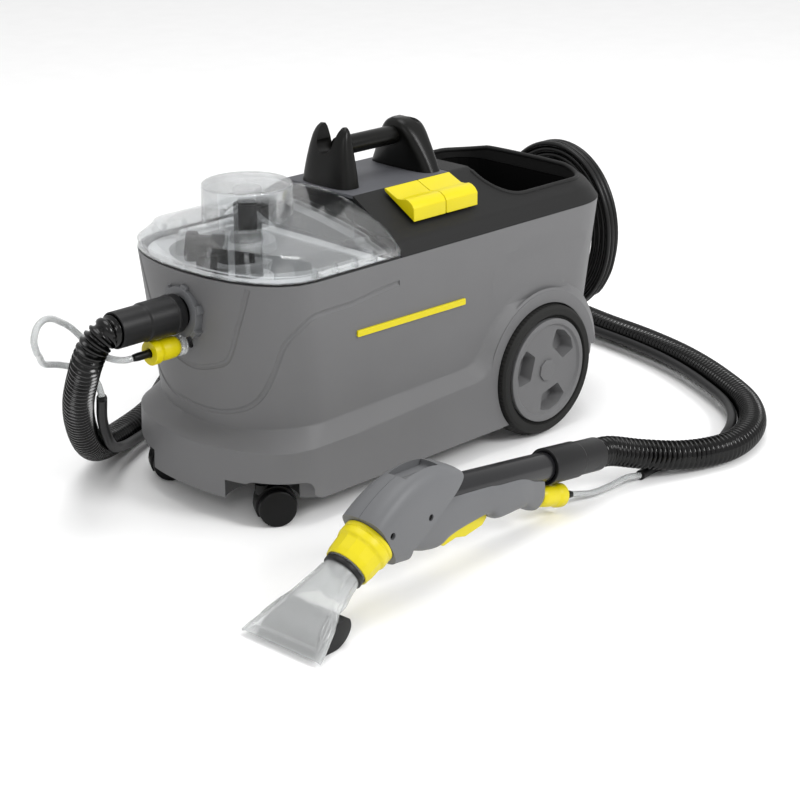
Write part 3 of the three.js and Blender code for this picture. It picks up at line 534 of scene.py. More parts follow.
def side_recess(side):
    outer = fillet_loop(RECESS_OUTER, 24)
    inner = fillet_loop(RECESS_INNER, 24)
    surface, floor = 144.3, 141.4
    steep = [(2 * a - c, 2 * b - d) for (a, b), (c, d) in zip(outer, inner)]
    return prism(steep, side * (2 * surface - floor), side * floor, inner)


def arch_prism(side):
    """The rounded opening over a caster, from the pocket out through the skirt."""
    heading = unit((-0.684, side * 0.73, 0))
    across = np.array([-heading[1], heading[0], 0])
    half, top, corner = 43, 57.5, 14
    outline = [(-half - 12, 20), (-half - 12, 31), (-half - 5, 33.5), (-half, 39)]
    for i in range(9):
        angle = math.radians(180 - 90 * i / 8)
        along, up = corner * math.cos(angle), corner * math.sin(angle)
        outline.append((-half + corner + along, top - corner + up))
    outline += [(-a, h) for a, h in outline[::-1]]
    centre = np.array([CASTER["x"], side * CASTER["y"], 0]) - 20 * side * across
    rings = []
    for reach in (0, 80):
        rings.append([centre + heading * reach + across * a + np.array([0, 0, h]) for a, h in outline])
    return loft("arch", rings)


FENDER_Y = 100  # where the fender starts, from the centre plane


def wheel_bore(side, near, far, r, sides=96):
    """A cylinder on the wheel axis between two distances from the centre plane."""
    return cylinder((0, side * near, WHEEL_R), (0, side * far, WHEEL_R), r, sides)


def fender_ring(side):
    bore, inner, outer = ARCH_R - 1, FENDER["inner"], FENDER["outer"]
    profile = [(bore, 0), (bore, 49), (inner, 50), (outer, 38), (outer, 0), (bore, 0)]
    ring = lathe("fender", profile, (0, side * FENDER_Y, WHEEL_R), (0, side, 0), 128, radius=1.5)
    boolean(ring, block(-200, 0, -200, 200, -50, 250))
    return boolean(ring, block(-1, 200, -200, 200, -50, FENDER["foot"]))


def fender_lip(side):
    """A thin lip that closes the arch in round the top of the tyre."""
    bore, outer = FENDER["lip"], FENDER["inner"] + 2
    profile = [(bore, 47), (outer, 47), (outer, 50), (bore, 50), (bore, 47)]
    lip = lathe("lip", profile, (0, side * FENDER_Y, WHEEL_R), (0, side, 0), 128, radius=0.6)
    boolean(lip, block(-200, 0, -200, 200, -50, 31))
    return boolean(lip, block(0, 200, -200, 200, -50, FENDER["foot"] + 1))


def housing_hollow():
    """The bays inside the housing, clear of its bulkheads, wheel wells and caster pockets."""
    levels = [
        (34, -482, 144, 132), (84, -480, 143, 132), (104, -458, 142, 132), (125, -458, 142, 132),
        (SEAM_Z + 1, -480, 161, 142),
    ]
    hollow = loft("hollow", [ring_at(plan(n, t, h, 40, 20), z) for z, n, t, h in levels])
    for x in (LID_X - 2, BAY_X):
        boolean(hollow, block(x, x + WALL, -200, 200, 0, 400))
    boolean(hollow, block(54, 220, -220, 220, 0, 88))
    for side in (-1, 1):
        boolean(hollow, wheel_bore(side, 106, 200, ARCH_R + WALL))
        x, y = CASTER["x"], side * CASTER["y"]
        boolean(hollow, cylinder((x, y, 0), (x, y, 66), CASTER["pocket"] + WALL))
    return hollow


def main_housing():
    levels = [31, 34, 50, 68, 82, *np.arange(88, 130, 1.5), *np.arange(131, 212, 3)]
    levels += [220, 235, 250, 265, 280, SEAM_Z - 2.5, SEAM_Z]
    body = loft("main_housing_skin", [skin_ring(z) for z in levels])
    for side in (-1, 1):
        boolean(body, fender_ring(side), "UNION")
        boolean(body, side_recess(side))
    boolean(body, block(58, 220, -220, 220, 0, 84))
    boolean(body, housing_hollow())
    boolean(body, block(LID_X + 8, BAY_X - 6, -108, 108, 20, 60))
    for line in (OUTER_LINE, INLET_LINE):
        boolean(body, moulded_line(line))
    for side in (-1, 1):
        x, y = CASTER["x"], side * CASTER["y"]
        boolean(body, wheel_bore(side, 110, 200, ARCH_R, 128))
        boolean(body, cylinder((x, y, 0), (x, y, 54), CASTER["pocket"]))
        boolean(body, arch_prism(side))
        boolean(body, cylinder((x, y, 53), (x, y, 61), 5.4, 32))
        boolean(body, fender_lip(side), "UNION")
        boolean(body, wheel_bore(side, 100, 130, 6.05, 32))
    boolean(body, cylinder((-520, 0, INLET_Z), (-440, 0, INLET_Z), 24))
    boolean(body, cylinder((-520, 0, SPRAY_Z), (-440, 0, SPRAY_Z), 8, 48))
    boolean(body, cylinder((120, 0, 200), (200, 0, 200), 9, 48))
    dress(body, "root", "housing_grey", "main_housing", sharp=28)


def side_stripe():
    """A thin yellow strip let into the near flank."""
    outline = [(-334, 216), (-147, 214), (-147, 222), (-334, 224)]
    strip = prism(fillet_loop(outline, 1.5), -144.5, -141.0)
    dress(strip, "root", "signal_yellow", name="side_stripe")


# ---------- cover, deck and handle ----------
def cover_height(x, y):
    slope = (DECK["z"] - CREASE["z"]) / (CREASE["half"] - DECK["half"])
    across = np.maximum(0, np.abs(y) - DECK["half"])
    along = np.maximum(0, x - DECK["tail"])
    return DECK["z"] - slope * (across**1.6 + along**1.6) ** (1 / 1.6)


def cover_rings(shrink):
    """Rings up the flank and inwards over the top, to the level deck."""
    seam = plan(-484 + shrink, 165 - shrink, 146 - shrink)
    crease = plan(-484 + shrink, CREASE["tail"] - shrink, CREASE["half"] - shrink)
    inner = plan(-464, DECK["tail"] - 20, DECK["half"] - 20)
    rings = [ring_at(seam, SEAM_Z + 0.4 - shrink / 4)]
    for t in (0.0, 0.15, 0.5, 0.85):
        outline = seam * (1 - t) + crease * t
        rings.append(ring_at(outline, SEAM_Z + 1.2 + t * (CREASE["z"] - SEAM_Z - 1.2) - shrink))
    for t in (0.02, *np.linspace(0.06, 1, 30)):
        outline = crease * (1 - t) + inner * t
        rings.append(ring_at(outline, cover_height(outline[:, 0], outline[:, 1]) - shrink))
    return rings


def filler_outline(grow, z, steps=12):
    """The rounded rectangle of the filler hopper."""
    r = 46 + grow
    x0, x1, y0, y1 = -56 - grow, 124 + grow, -116 - grow, 116 + grow
    points = []
    corners = ((x1 - r, y0 + r, -90), (x1 - r, y1 - r, 0), (x0 + r, y1 - r, 90), (x0 + r, y0 + r, 180))
    for x, y, start in corners:
        for angle in np.radians(start + 90 * np.arange(steps + 1) / steps):
            points.append((x + r * math.cos(angle), y + r * math.sin(angle), z))
    return np.array(points)


def top_cover():
    body = loft("top_cover_skin", cover_rings(0))
    boolean(body, loft("inside", cover_rings(WALL)))
    wall = loft("wall", [filler_outline(3, 315), filler_outline(3, 400)])
    cap = loft("cap", cover_rings(0.5))
    boolean(wall, cap, "INTERSECT")
    boolean(body, wall, "UNION")
    boolean(body, loft("mouth", [filler_outline(0, 290), filler_outline(0, 420)]))
    boolean(body, block(-600, LID_X + 2, -200, 200, 200, 500))
    boolean(body, block(LID_X - 10, -92, -DECK["half"], DECK["half"], 300, 500))
    dress(body, "root", "cover_black", "top_cover", sharp=25)
    rim = filler_outline(1.5, 0, 16)
    rim[:, 2] = cover_height(rim[:, 0], rim[:, 1]) - 1.2
    closed_rim = smooth_route(np.vstack([rim, rim[:1]]), 4)[:-1]
    lip = sweep("filler_lip", closed_rim, 3.2, sides=14, closed=True)
    dress(lip, "root", "cover_black")


def oval_ring(x0, x1, half, z, power=3.2, count=64):
    """A level superellipse ring between x0 and x1."""
    angles = np.linspace(0, 2 * math.pi, count, endpoint=False)
    c, s = np.cos(angles), np.sin(angles)
    x = (x0 + x1) / 2 + (x1 - x0) / 2 * np.sign(c) * np.abs(c) ** (2 / power)
    y = half * np.sign(s) * np.abs(s) ** (2 / power)
    return np.column_stack([x, y, np.full(count, z)])


def post(name, sections):
    """A rounded post from (z, x0, x1, half width) sections, smoothed between them."""
    smooth = [smooth_route([(row[0], row[k], 0) for row in sections], 1.0) for k in (1, 2, 3)]
    levels = np.linspace(sections[0][0], sections[-1][0], 40)
    x0, x1, half = [np.interp(levels, curve[:, 0], curve[:, 1]) for curve in smooth]
    return loft(name, [oval_ring(*values) for values in zip(x0, x1, half, levels)])


FRONT_POST = [
    (360.4, -258, -222, 42), (372, -257, -222.5, 40), (390, -254.5, -223.5, 36.5), (410, -250.5, -225, 32),
    (422, -246, -226.5, 29), (429, -241, -228, 26), (432.5, -236.5, -230.5, 23),
]
REAR_POST = [
    (360.4, -126, -90, 54), (375, -127, -90, 47), (395, -130, -90, 36), (408, -132.5, -90.5, 28),
    (416, -133, -92.5, 21.5), (421, -131, -98, 16), (424.5, -127, -106, 9),
]
SADDLE = {"r": 14, "z": 414, "mouth": 19.5}  # the notch between the front post's horns


def handle():
    bar_end = (HANDLE["front"] + 14, 0, HANDLE["bar_z"])
    bar = lathe("handle_bar_shape", rod(12, 108), bar_end, (1, 0, 0))
    dress(bar, "root", "handle_black", "handle_bar")
    front = post("handle_front_shape", FRONT_POST)
    r, low, mouth = SADDLE["r"], SADDLE["z"], SADDLE["mouth"]
    boolean(front, cylinder((-280, 0, low), (-200, 0, low), r))
    flare = [(-r, low), (r, low), (mouth, 440), (-mouth, 440)]
    boolean(front, loft("flare", [[(x, y, z) for y, z in flare] for x in (-280, -200)]))
    dress(front, "root", "handle_black", "handle_front_post")
    rear = post("handle_rear_shape", REAR_POST)
    boolean(rear, cylinder((-104, -80, 423), (-104, 80, 423), 6))
    dress(rear, "root", "handle_black", "handle_rear_post")
    dress(rounded_copy("deck_panel", 1.2), "root", "deck_grey", "deck_panel")
    for node, body in (("rocker_spray", "spray_switch"), ("rocker_vacuum", "vacuum_switch")):
        dress(rounded_copy(node, 1.6, 4), body, "signal_yellow", node)


# ---------- lid and recovery tank ----------
def lid_height(x, y):
    run = np.clip((x - BROW["nose"]) / 200, 0, 1)
    crown = np.maximum(0, 1 - (y / BROW["half"]) ** 2)
    return BROW["z"] + BROW["rise"] * crown * np.sqrt(run)


def lid_rings(inset, drop):
    lip = plan(-484 + inset, 60, 146 - inset)
    brow = plan(BROW["nose"] + inset, 60, BROW["half"] - inset)
    rings = [ring_at(lip, SEAM_Z + 3 - drop), ring_at(lip, SEAM_Z + 11)]
    for t in (0.3, 0.6, 0.9):
        outline = lip * (1 - t) + brow * t
        rings.append(ring_at(outline, SEAM_Z + 11 + t * (BROW["z"] - SEAM_Z - 12)))
    centre = np.array([LID_X, 0])
    for t in (0.985, 0.96, *np.linspace(0.93, 0.05, 26)):
        outline = centre + (brow - centre) * t
        rings.append(ring_at(outline, lid_height(outline[:, 0], outline[:, 1]) - drop))
    return rings


LID_CLIP_X = (-396, -364, -332, -300, -276)


def lid():
    shell = loft("lid_cover_shell", lid_rings(0, 0))
    foot = (DOME["x"], 0, DOME["top"] - 60)
    boolean(shell, lathe("cup", rod(DOME["r"], 60), foot, (0, 0, 1), radius=4), "UNION")
    boolean(shell, loft("inside", lid_rings(3, 2.5)))
    hollow = rod(DOME["r"] - DOME["wall"], 67.5)
    boolean(shell, lathe("hollow", hollow, (DOME["x"], 0, DOME["top"] - 70), (0, 0, 1), radius=3))
    boolean(shell, block(LID_X - 0.5, 300, -300, 300, 0, 500))
    for x in LID_CLIP_X:
        for side in (-1, 1):
            boolean(shell, block(x - 1.3, x + 1.3, side * 133, side * 141.5, 301, 312), "UNION")
    dress(shell, "lid", "clear_plastic", "lid_cover")
    dress(rounded_copy("lid_seal", 0.4, 2), "lid", "rubber_black", "lid_seal")


def inlet_elbow():
    """A turned barrel through the tank wall, an upright, and a knurled cross pipe on top."""

    def knurl(height, angle):
        return 1 + 0.07 * (math.sin(12 * angle) > 0) if height < 15 else 1.0

    elbow = lathe("inlet_elbow_shape", pipe(18, 22, 54), (-473.6, 0, INLET_Z), (1, 0, 0), radius=0.8)
    boolean(elbow, cylinder((-434, 0, INLET_Z), (-434, 0, 312), 19), "UNION")
    head = [(0, 0), (15.5, 0), (17, 3), (17, 13), (14.5, 16), (14.5, 30), (16.5, 32), (16.5, 50), (0, 50)]
    head = lathe("head", head, (-448, 32, 316), (37, -36, -4), 120, shape=knurl)
    return boolean(elbow, head, "UNION")


BAIL_PIVOT_X = -372


def recovery_tank():
    def level(z, nose, half):
        return ring_at(plan(nose, 60, half, 40, 20), z)

    walls = [level(70, -446, 110), level(292, -473.5, 135.7), level(296, -474, 136)]
    tank = loft("recovery_tank_shell", walls)
    shelf = [level(73, -443, 107), level(290, -470, 132), level(291, -455, 114), level(300, -455, 114)]
    inner = loft("inner", shelf)
    boolean(inner, block(-273.5, 200, -300, 300, 0, 500))
    boolean(tank, inner)
    for side in (-1, 1):
        boolean(tank, block(BAIL_PIVOT_X - 10, BAIL_PIVOT_X + 10, side * 122, side * 133, 285, 310))
    boolean(tank, block(-270.5, 200, -300, 300, 0, 500))
    boolean(tank, cylinder((-520, 0, INLET_Z), (-440, 0, INLET_Z), 22.5))
    dress(tank, "tank", "tank_white", "recovery_tank")
    dress(rounded_copy("tank_bail", 1.2), "bail", "tank_white", "tank_bail")
    dress(inlet_elbow(), "tank", "soft_black", "inlet_elbow")
    dress(rounded_copy("suction_riser", 0.8), "tank", "soft_black", "suction_riser")
    dress(rounded_copy("float_ring", 1.0), "float", "tank_white", "float_ring")


# ---------- running gear ----------
WHEEL_Y = 118  # the wheel's inner face, from the centre plane
HUB_WINDOW = [(-17, 28), (17, 28), (26, 50), (10, 58), (-10, 58), (-26, 50)]  # across, then outwards
WINDOW_MID = 43
WINDOW_ENDS = ((46, 1.06), (20, 0.74))  # depth from the inner face and scale, at the mouth and the floor


def hub_window(side, turn):
    """A pocket that narrows towards its floor."""
    c, s = math.cos(turn), math.sin(turn)
    outline = fillet_loop(HUB_WINDOW, 3, 3)
    rings = []
    for depth, scale in WINDOW_ENDS:
        ring = []
        for across, away in outline:
            a, b = across * scale, WINDOW_MID + (away - WINDOW_MID) * scale
            ring.append((a * c - b * s, side * (WHEEL_Y + depth), WHEEL_R + a * s + b * c))
        rings.append(ring)
    return loft("window", rings)


def hub(side, name):
    profile = [
        (6.3, 2), (66.6, 2), (66.6, 30), (70, 34), (70, 40.5), (63, 41), (60.5, 37.5), (16, 37.5),
        (6.3, 37.5), (6.3, 2),
    ]
    disc = lathe(name, profile, (0, side * WHEEL_Y, WHEEL_R), (0, side, 0), 128, radius=1.0)
    for turn in (75, 195, 315):
        boolean(disc, hub_window(side, math.radians(turn)))
    cap = [(0, 37), (15, 37), (15, 39.8), (0, 40.2)]
    cap = lathe("cap", cap, (0, side * WHEEL_Y, WHEEL_R), (0, side, 0), 8, radius=0.4)
    return boolean(disc, cap, "UNION")


def wheels():
    def lugs(height, angle):
        return 1 - 0.006 * (math.sin(90 * angle) > 0.3) if 5 < height < 37 else 1.0

    tread = [
        (67, 0), (70, -0.5), (73, 1.5), (76, -0.5), (85, 0), (88, 2), (92, 7), (92, 13), (90, 14), (90, 18),
        (92, 19), (92, 25.5), (88, 28), (87.5, 37), (84, 40), (75, 40), (73.5, 36), (70.6, 35), (70.2, 33),
        (67, 29.5), (67, 0),
    ]
    for side, hand in ((-1, "left"), (1, "right")):
        at, out = (0, side * WHEEL_Y, WHEEL_R), (0, side, 0)
        tyre = lathe(f"rear_tyre_{hand}_shape", tread, at, out, 720, radius=0.9, shape=lugs)
        dress(tyre, f"wheel_{hand}", "tyre_grey", f"rear_tyre_{hand}")
        dress(hub(side, f"rear_hub_{hand}_shape"), f"wheel_{hand}", "housing_grey", f"rear_hub_{hand}")
        for part, body, width in (("caster_hood", "caster", 1.2), ("caster_rollers", "rollers", 2.0)):
            node = f"{part}_{hand}"
            dress(rounded_copy(node, width), f"{body}_{hand}", "soft_black", node)


# ---------- inlet and couplings ----------
COUPLING = [
    (5.4, 0), (11, 0), (13.2, 5), (13.6, 16), (13, 26), (15, 31), (15, 40), (5.4, 40), (5.4, 0),
]
OUTLET_COLLAR = [(5.4, 0), (12, 0), (13.4, 2), (13.4, 7), (12, 9), (5.4, 9), (5.4, 0)]


def inlet():
    dress(rounded_copy("inlet_port", 0.8), "root", "tool_grey", "inlet_port")
    cuff = [
        (17, 0), (23.5, 0), (23.5, 8), (24.3, 9), (24.3, 12), (23.5, 13), (23.5, 50), (22, 53), (22, 92),
        (19.6, 92), (17, 70), (17, 0),
    ]
    dress(lathe("hose_cuff_shape", cuff, (-492, 0, INLET_Z), (-1, 0, 0)), "root", "cuff_dark", "hose_cuff")
    sleeve = lathe("spray_coupling_shape", COUPLING, (-494, 0, SPRAY_Z), (-1, 0, 0))
    dress(sleeve, "machine_collar", "signal_yellow", "spray_coupling")
    collar = lathe("outlet_collar", OUTLET_COLLAR, (-484, 0, SPRAY_Z), (-1, 0, 0))
    dress(collar, "root", "clear_tube")
    stub = lathe("spray_nipple_shape", nipple(77), (-481, 0, SPRAY_Z), (-1, 0, 0), 48)
    dress(stub, "root", "soft_black", "spray_nipple")


# ---------- hand tool ----------
# Stations along the tool as (x, low, high, half width).
HEAD_STATIONS = [
    (100, 40, 84, 24), (118, 44, 100, 29), (132, 46, 113, 30.5), (160, 48, 130, 31), (190, 44, 141, 30.5),
    (225, 40, 144.5, 29), (250, 40, 140, 28), (272, 44, 130, 26), (292, 52, 116, 24),
]
STRIP_STATIONS = [
    (160, 58, 112, 20), (198, 51, 112, 22), (222, 43, 109, 22), (246, 40, 105, 22), (262, 46, 103, 22),
    (300, 51, 97.5, 22), (332, 51, 92.7, 22), (345, 41, 90.5, 22), (385, 38.5, 85, 21.5), (400, 37, 82, 20),
    (412, 28, 79, 18), (428, 24, 74, 16), (438, 31, 66, 14), (441, 42, 56, 10),
]
HEAD_EDGE = [(186, 62), (284, 121), (320, 121), (320, 20), (186, 20)]  # the head ends along this line
HEAD_GROOVE = [(186, 62), (284, 121), (286.5, 118.5), (188.5, 59.5)]
SCREW_X = (150, 214)
SCREW_Z = 92
SLIDE_CUTS = [(246, 345, -8, 8, 20, 64), (342, 398, -9, 9, 44, 59)]  # round the trigger and the valve
WINDOW_CUT = [(190, 136), (244, 134), (244, 170), (190, 170)]
SEAM_GAP = 0.2


def tool_loft(name, rings):
    return loft(name, [tool_place(ring) for ring in rings])


def tool_block(x0, x1, y0, y1, z0, z1):
    corners = [(x0, y0), (x1, y0), (x1, y1), (x0, y1)]
    return tool_loft("block", [[(x, y, z) for x, y in corners] for z in (z0, z1)])


def tool_prism(outline, y0, y1):
    return tool_loft("prism", [[(x, y, z) for x, z in outline] for y in (y0, y1)])


def tool_cylinder(start, end, r):
    length = float(np.linalg.norm(np.subtract(end, start)))
    return lathe("cylinder", rod(r, length), start, np.subtract(end, start), 72, radius=0, tool=True)


def station_loft(name, stations, power):
    """A body along x, each section a superellipse between its low and high point."""
    stations = np.array(stations, float)
    xs = np.linspace(stations[0, 0], stations[-1, 0], 90)
    angles = np.linspace(0, 2 * math.pi, 72, endpoint=False)
    c, s = np.cos(angles), np.sin(angles)
    curves = [smooth_route([(x, value, 0) for x, value in stations[:, [0, k]]], 1.0) for k in (1, 2, 3)]
    rings = []
    for x in xs:
        low, high, half = [np.interp(x, curve[:, 0], curve[:, 1]) for curve in curves]
        y = half * np.sign(c) * np.abs(c) ** (2 / power)
        z = (low + high) / 2 + (high - low) / 2 * np.sign(s) * np.abs(s) ** (2 / power)
        rings.append(np.column_stack([np.full(72, x), y, z]))
    return tool_loft(name, rings)


def tool_shells():
    """Two halves with a seam between them, hollow round the pipe, the trigger and the valve."""
    for side, hand in ((-1, "left"), (1, "right")):
        shell = station_loft(f"tool_shell_{hand}_shape", HEAD_STATIONS, 3.4)
        boolean(shell, tool_prism(HEAD_EDGE, -60, 60))
        boolean(shell, station_loft("strip", STRIP_STATIONS, 3.4), "UNION")
        boolean(shell, tool_cylinder(along_nose(80), along_nose(4), 21))
        boolean(shell, tool_cylinder(along_grip(10), along_grip(262), 18.4))
        boolean(shell, tool_cylinder(along_nose(55.5), along_nose(130), 60))
        for cut in SLIDE_CUTS:
            boolean(shell, tool_block(*cut))
        boolean(shell, tool_cylinder(along_spout(-4), along_spout(58), 5.4))
        boolean(shell, tool_cylinder((257, -40, 45), (257, 40, 45), 2.1))
        boolean(shell, tool_prism(fillet_loop(WINDOW_CUT, 3), -13, 13))
        for flank in (-1, 1):
            boolean(shell, tool_prism(HEAD_GROOVE, flank * 20, flank * 40))
            for x in SCREW_X:
                boolean(shell, tool_cylinder((x, flank * 40, SCREW_Z), (x, flank * 26.5, SCREW_Z), 4))
        other_half = (-SEAM_GAP, 60) if side < 0 else (-60, SEAM_GAP)
        boolean(shell, tool_block(90, 460, *other_half, 0, 200))
        dress(shell, "root", "tool_grey", f"tool_shell_{hand}", sharp=30)
    for x in SCREW_X:
        for side, flank in ((-1, "near"), (1, "far")):
            screw = tool_cylinder((x, side * 26.6, SCREW_Z), (x, side * 27.6, SCREW_Z), 3.4)
            dress(bevel(screw, 0.3, 2), "root", "soft_black", name=f"shell_screw_{x}_{flank}")
    insert = tool_prism([(191, 132.5), (243, 130.5), (243, 133.6), (191, 135.6)], -12.5, 12.5)
    dress(bevel(insert, 0.5, 2), "root", "soft_black", name="shell_window")


# Stations along the nozzle as (distance from the mouth, half width, half thickness).
NOZZLE_STATIONS = [(0, 58, 5), (10, 56, 6), (52, 41, 12), (60, 35, 15), (92, 25, 20), (114, 22, 21)]
NOZZLE_MOUTH = 213


def on_nozzle(distance, share):
    """The point of the nozzle's front face at a share of its half width."""
    stations = np.array(NOZZLE_STATIONS, float)
    width, thick = [np.interp(distance, stations[:, 0], stations[:, k]) for k in (1, 2)]
    power = 0.35 + 0.65 * distance / 114
    sine = abs(share) ** (1 / power)
    lift = thick * math.sqrt(1 - sine * sine) ** power
    point = along_nose(NOZZLE_MOUTH - distance, lift)
    return [point[0], share * width, point[2]]


def nozzle_front():
    """The clear front with a lip along the mouth, a rib down each side and two clip loops."""
    front = rounded_copy("nozzle_front", 0.5, 2)
    routes = [[on_nozzle(11, share) for share in np.linspace(-0.86, 0.86, 15)]]
    for side in (-1, 1):
        routes.append([on_nozzle(distance, side * 0.86) for distance in (11, 25, 40, 52, 60, 76, 92, 104)])
        turns = np.radians(np.arange(0, 360, 20))
        loop = [on_nozzle(36 + 15 * math.cos(a), side * (0.86 + 0.09 * math.sin(a))) for a in turns]
        clip = sweep("clip", tool_place(loop), 1.3, sides=8, closed=True)
        boolean(front, clip, "UNION")
    for route in routes:
        boolean(front, sweep("rib", smooth_route(tool_place(route), 3), 1.3, sides=10), "UNION")
    dress(front, "root", "clear_tube", "nozzle_front")


HEEL = [(14, 0.4), (50, 0.4), (63, 7), (71, 19), (69, 31), (56, 32), (40, 22), (22, 9)]


def nozzle_back():
    """The clear back of the nozzle; its dark heel and neck ring are pieces of their own."""
    back = rounded_copy("nozzle_back", 0.4, 2)
    boolean(back, tool_prism([(-10, -5), (90, -5), (90, 34), (47, 34), (30, 22), (12, 9)], -60, 60))
    dress(back, "root", "clear_tube", "nozzle_back")
    heel = tool_prism(fillet_loop(HEEL, 7), -44, 44)
    dress(bevel(heel, 3.0, 4), "root", "cuff_dark", name="nozzle_heel")
    heading = along_nose(0) - along_nose(1)
    collar = lathe("nozzle_collar", pipe(17.4, 24.4, 6), along_nose(106), heading, tool=True)
    dress(collar, "root", "cuff_dark")


def hand_tool():
    heading = along_grip(1) - along_grip(0)
    grip = lathe("grip_tube_shape", pipe(15.5, 18, 252), along_grip(24), heading, tool=True)
    dress(grip, "root", "grip_dark", "grip_tube")
    cuff = [
        (18.3, 16.6), (18.3, 0), (22.5, 0), (22.5, 58), (21, 60), (21, 104), (17, 104), (17, 20),
        (18.3, 16.6),
    ]
    cuff = lathe("tool_cuff_shape", cuff, along_grip(260), heading, tool=True)
    dress(cuff, "root", "cuff_dark", "tool_cuff")
    tool_shells()
    dress(rounded_copy("trigger", 1.2), "trigger_lever", "signal_yellow", "trigger")

    def facets(height, angle):
        if not 17 < height < 38:
            return 1.0
        span = 2 * math.pi / 14
        return math.cos(span / 2) / math.cos(angle % span - span / 2) * 1.015

    nut = [
        (24.4, 0), (31, 0), (31, 4), (30, 5), (30, 6.5), (31, 7.5), (31, 15), (29.8, 17), (28.8, 19),
        (28, 34), (26.6, 42), (24.4, 42), (24.4, 0),
    ]
    nose_heading = along_nose(1) - along_nose(0)
    nut = lathe("union_nut_shape", nut, along_nose(56), nose_heading, 126, tool=True, shape=facets)
    dress(nut, "nut", "signal_yellow", "union_nut", sharp=14)
    spout_heading = along_spout(1) - along_spout(0)
    stub = lathe("tool_nipple_shape", nipple(109), along_spout(0), spout_heading, 48, tool=True)
    dress(stub, "root", "soft_black", "tool_nipple")
    coupling = [(r, h * 46 / 40) for r, h in COUPLING]
    coupling = lathe("tool_coupling_shape", coupling, along_spout(39), spout_heading, tool=True)
    dress(coupling, "tool_collar", "signal_yellow", "tool_coupling")
    nozzle_front()
    nozzle_back()


# ---------- cords ----------
HOSE_ROUTE = [
    (-585.6, 0, 250), (-594, 0.2, 249.6), (-606, 7, 236), (-610, 16, 217), (-605, 35, 189),
    (-595, 60, 153), (-574, 90, 112), (-541, 123, 67), (-490, 170, 32), (-428, 207, 20),
    (-350, 243, 20), (-262, 310, 20), (-165, 390, 20), (-60, 465, 20), (62, 505, 20),
    (190, 490, 20), (298, 420, 20), (362, 315, 20), (384, 205, 20), (377, 110, 20),
    (364, 35, 20), (352, -50, 20), (330, -137, 20), (290, -229, 20), (236, -314, 20),
    (168, -366, 20), (96, -382, 20), (28, -366, 24), (-30, -342, 35), (-82, -328.5, 50.2),
    (-108.2, -328.9, 54.2),
]
FRONT_SPRAY_ROUTE = [
    (-559.8, 0, 210), (-568, 2, 209.8), (-577, 13, 210.5), (-582, 32, 214), (-590, 52, 230),
    (-606, 52, 247), (-630, 38, 263), (-655, 18, 277), (-676, 4, 283), (-690, -4, 280),
    (-697, -7, 268), (-692, -2, 254), (-672, 22, 236), (-640, 58, 209), (-612, 70, 198),
    (-592, 66, 190), (-580, 57, 181), (-575, 48.6, 171), (-574.3, 44.4, 162), (-573.9, 43, 155.6),
]
REAR_SPRAY_ROUTE = [
    (-34.8, -342, 7.1), (-56, -340, 10.5), (-85, -338, 8), (-120, -335, 7.5), (-140, -332.5, 11.4),
    (-155.3, -331.4, 15.5),
]
LEAD_ROUTE = [
    (172.5, 0, 200), (184, -0.8, 198.9), (196, -3.5, 193.7), (206, -7.5, 184), (211.5, -11, 173),
    (213, -14, 163), (213, -16.5, 151.5), (212.5, -22, 140.9), (211, -32, 132.9), (209, -42, 129.2),
    (206.5, -53, 128.7), (205, -63, 131.5), (204, -73.1, 138.3), (204, -84.8, 156.5),
]
RIB_PITCH = 7.2


def beside_hose(first, last):
    """Points of the sleeve, on the inner side of the hose's bends."""
    points = np.array(HOSE_ROUTE[first:last], float)
    beside = []
    for i, point in enumerate(points):
        heading = points[min(i + 1, len(points) - 1)] - points[max(i - 1, 0)]
        side = unit((heading[1], -heading[0], 0))
        beside.append(tuple(point + side * (HOSE_R + SLEEVE_R + 1.5)))
    return beside


SLEEVE_ROUTE = [
    *beside_hose(5, 26), (96, -355, 9), (50, -346, 7), (20, -341, 6.8), (-5, -338.5, 6.8), (-33, -342, 7),
]


def declare(piece, route, diameter, **facts):
    length = facts.pop("length", round(route_length(route) * MM, 2))


def suction_hose():
    per_rib = 6
    route = smooth_route(HOSE_ROUTE, RIB_PITCH / per_rib)
    wave = HOSE_R - np.array([0, 0, 1.0, 3.8, 4.2, 3.0])
    radii = wave[np.arange(len(route)) % per_rib]
    hose = sweep("suction_hose_ribbed", route, radii, sides=30)
    dress(hose, "root", "hose_black", "suction_hose", sharp=60)
    declare(hose, route, 2 * HOSE_R, far_end="object", stiffness="medium", lay="loose")


def spray_lines():
    route = smooth_route(SLEEVE_ROUTE, 6)
    sleeve = sweep("spray_sleeve_tube", route, SLEEVE_R, sides=20)
    dress(sleeve, "root", "cuff_dark", "spray_sleeve")
    declare(sleeve, route, 2 * SLEEVE_R, far_end="object", stiffness="medium", lay="loose")
    for node, points in (("spray_tube_front", FRONT_SPRAY_ROUTE), ("spray_tube_rear", REAR_SPRAY_ROUTE)):
        route = smooth_route(points, 2.5)
        tube = sweep(f"{node}_hollow", route, SPRAY_R, sides=20, bore=2.6)
        dress(tube, "root", "clear_tube", node)
        declare(tube, route, 2 * SPRAY_R, far_end="object", stiffness="limp", lay="loose")


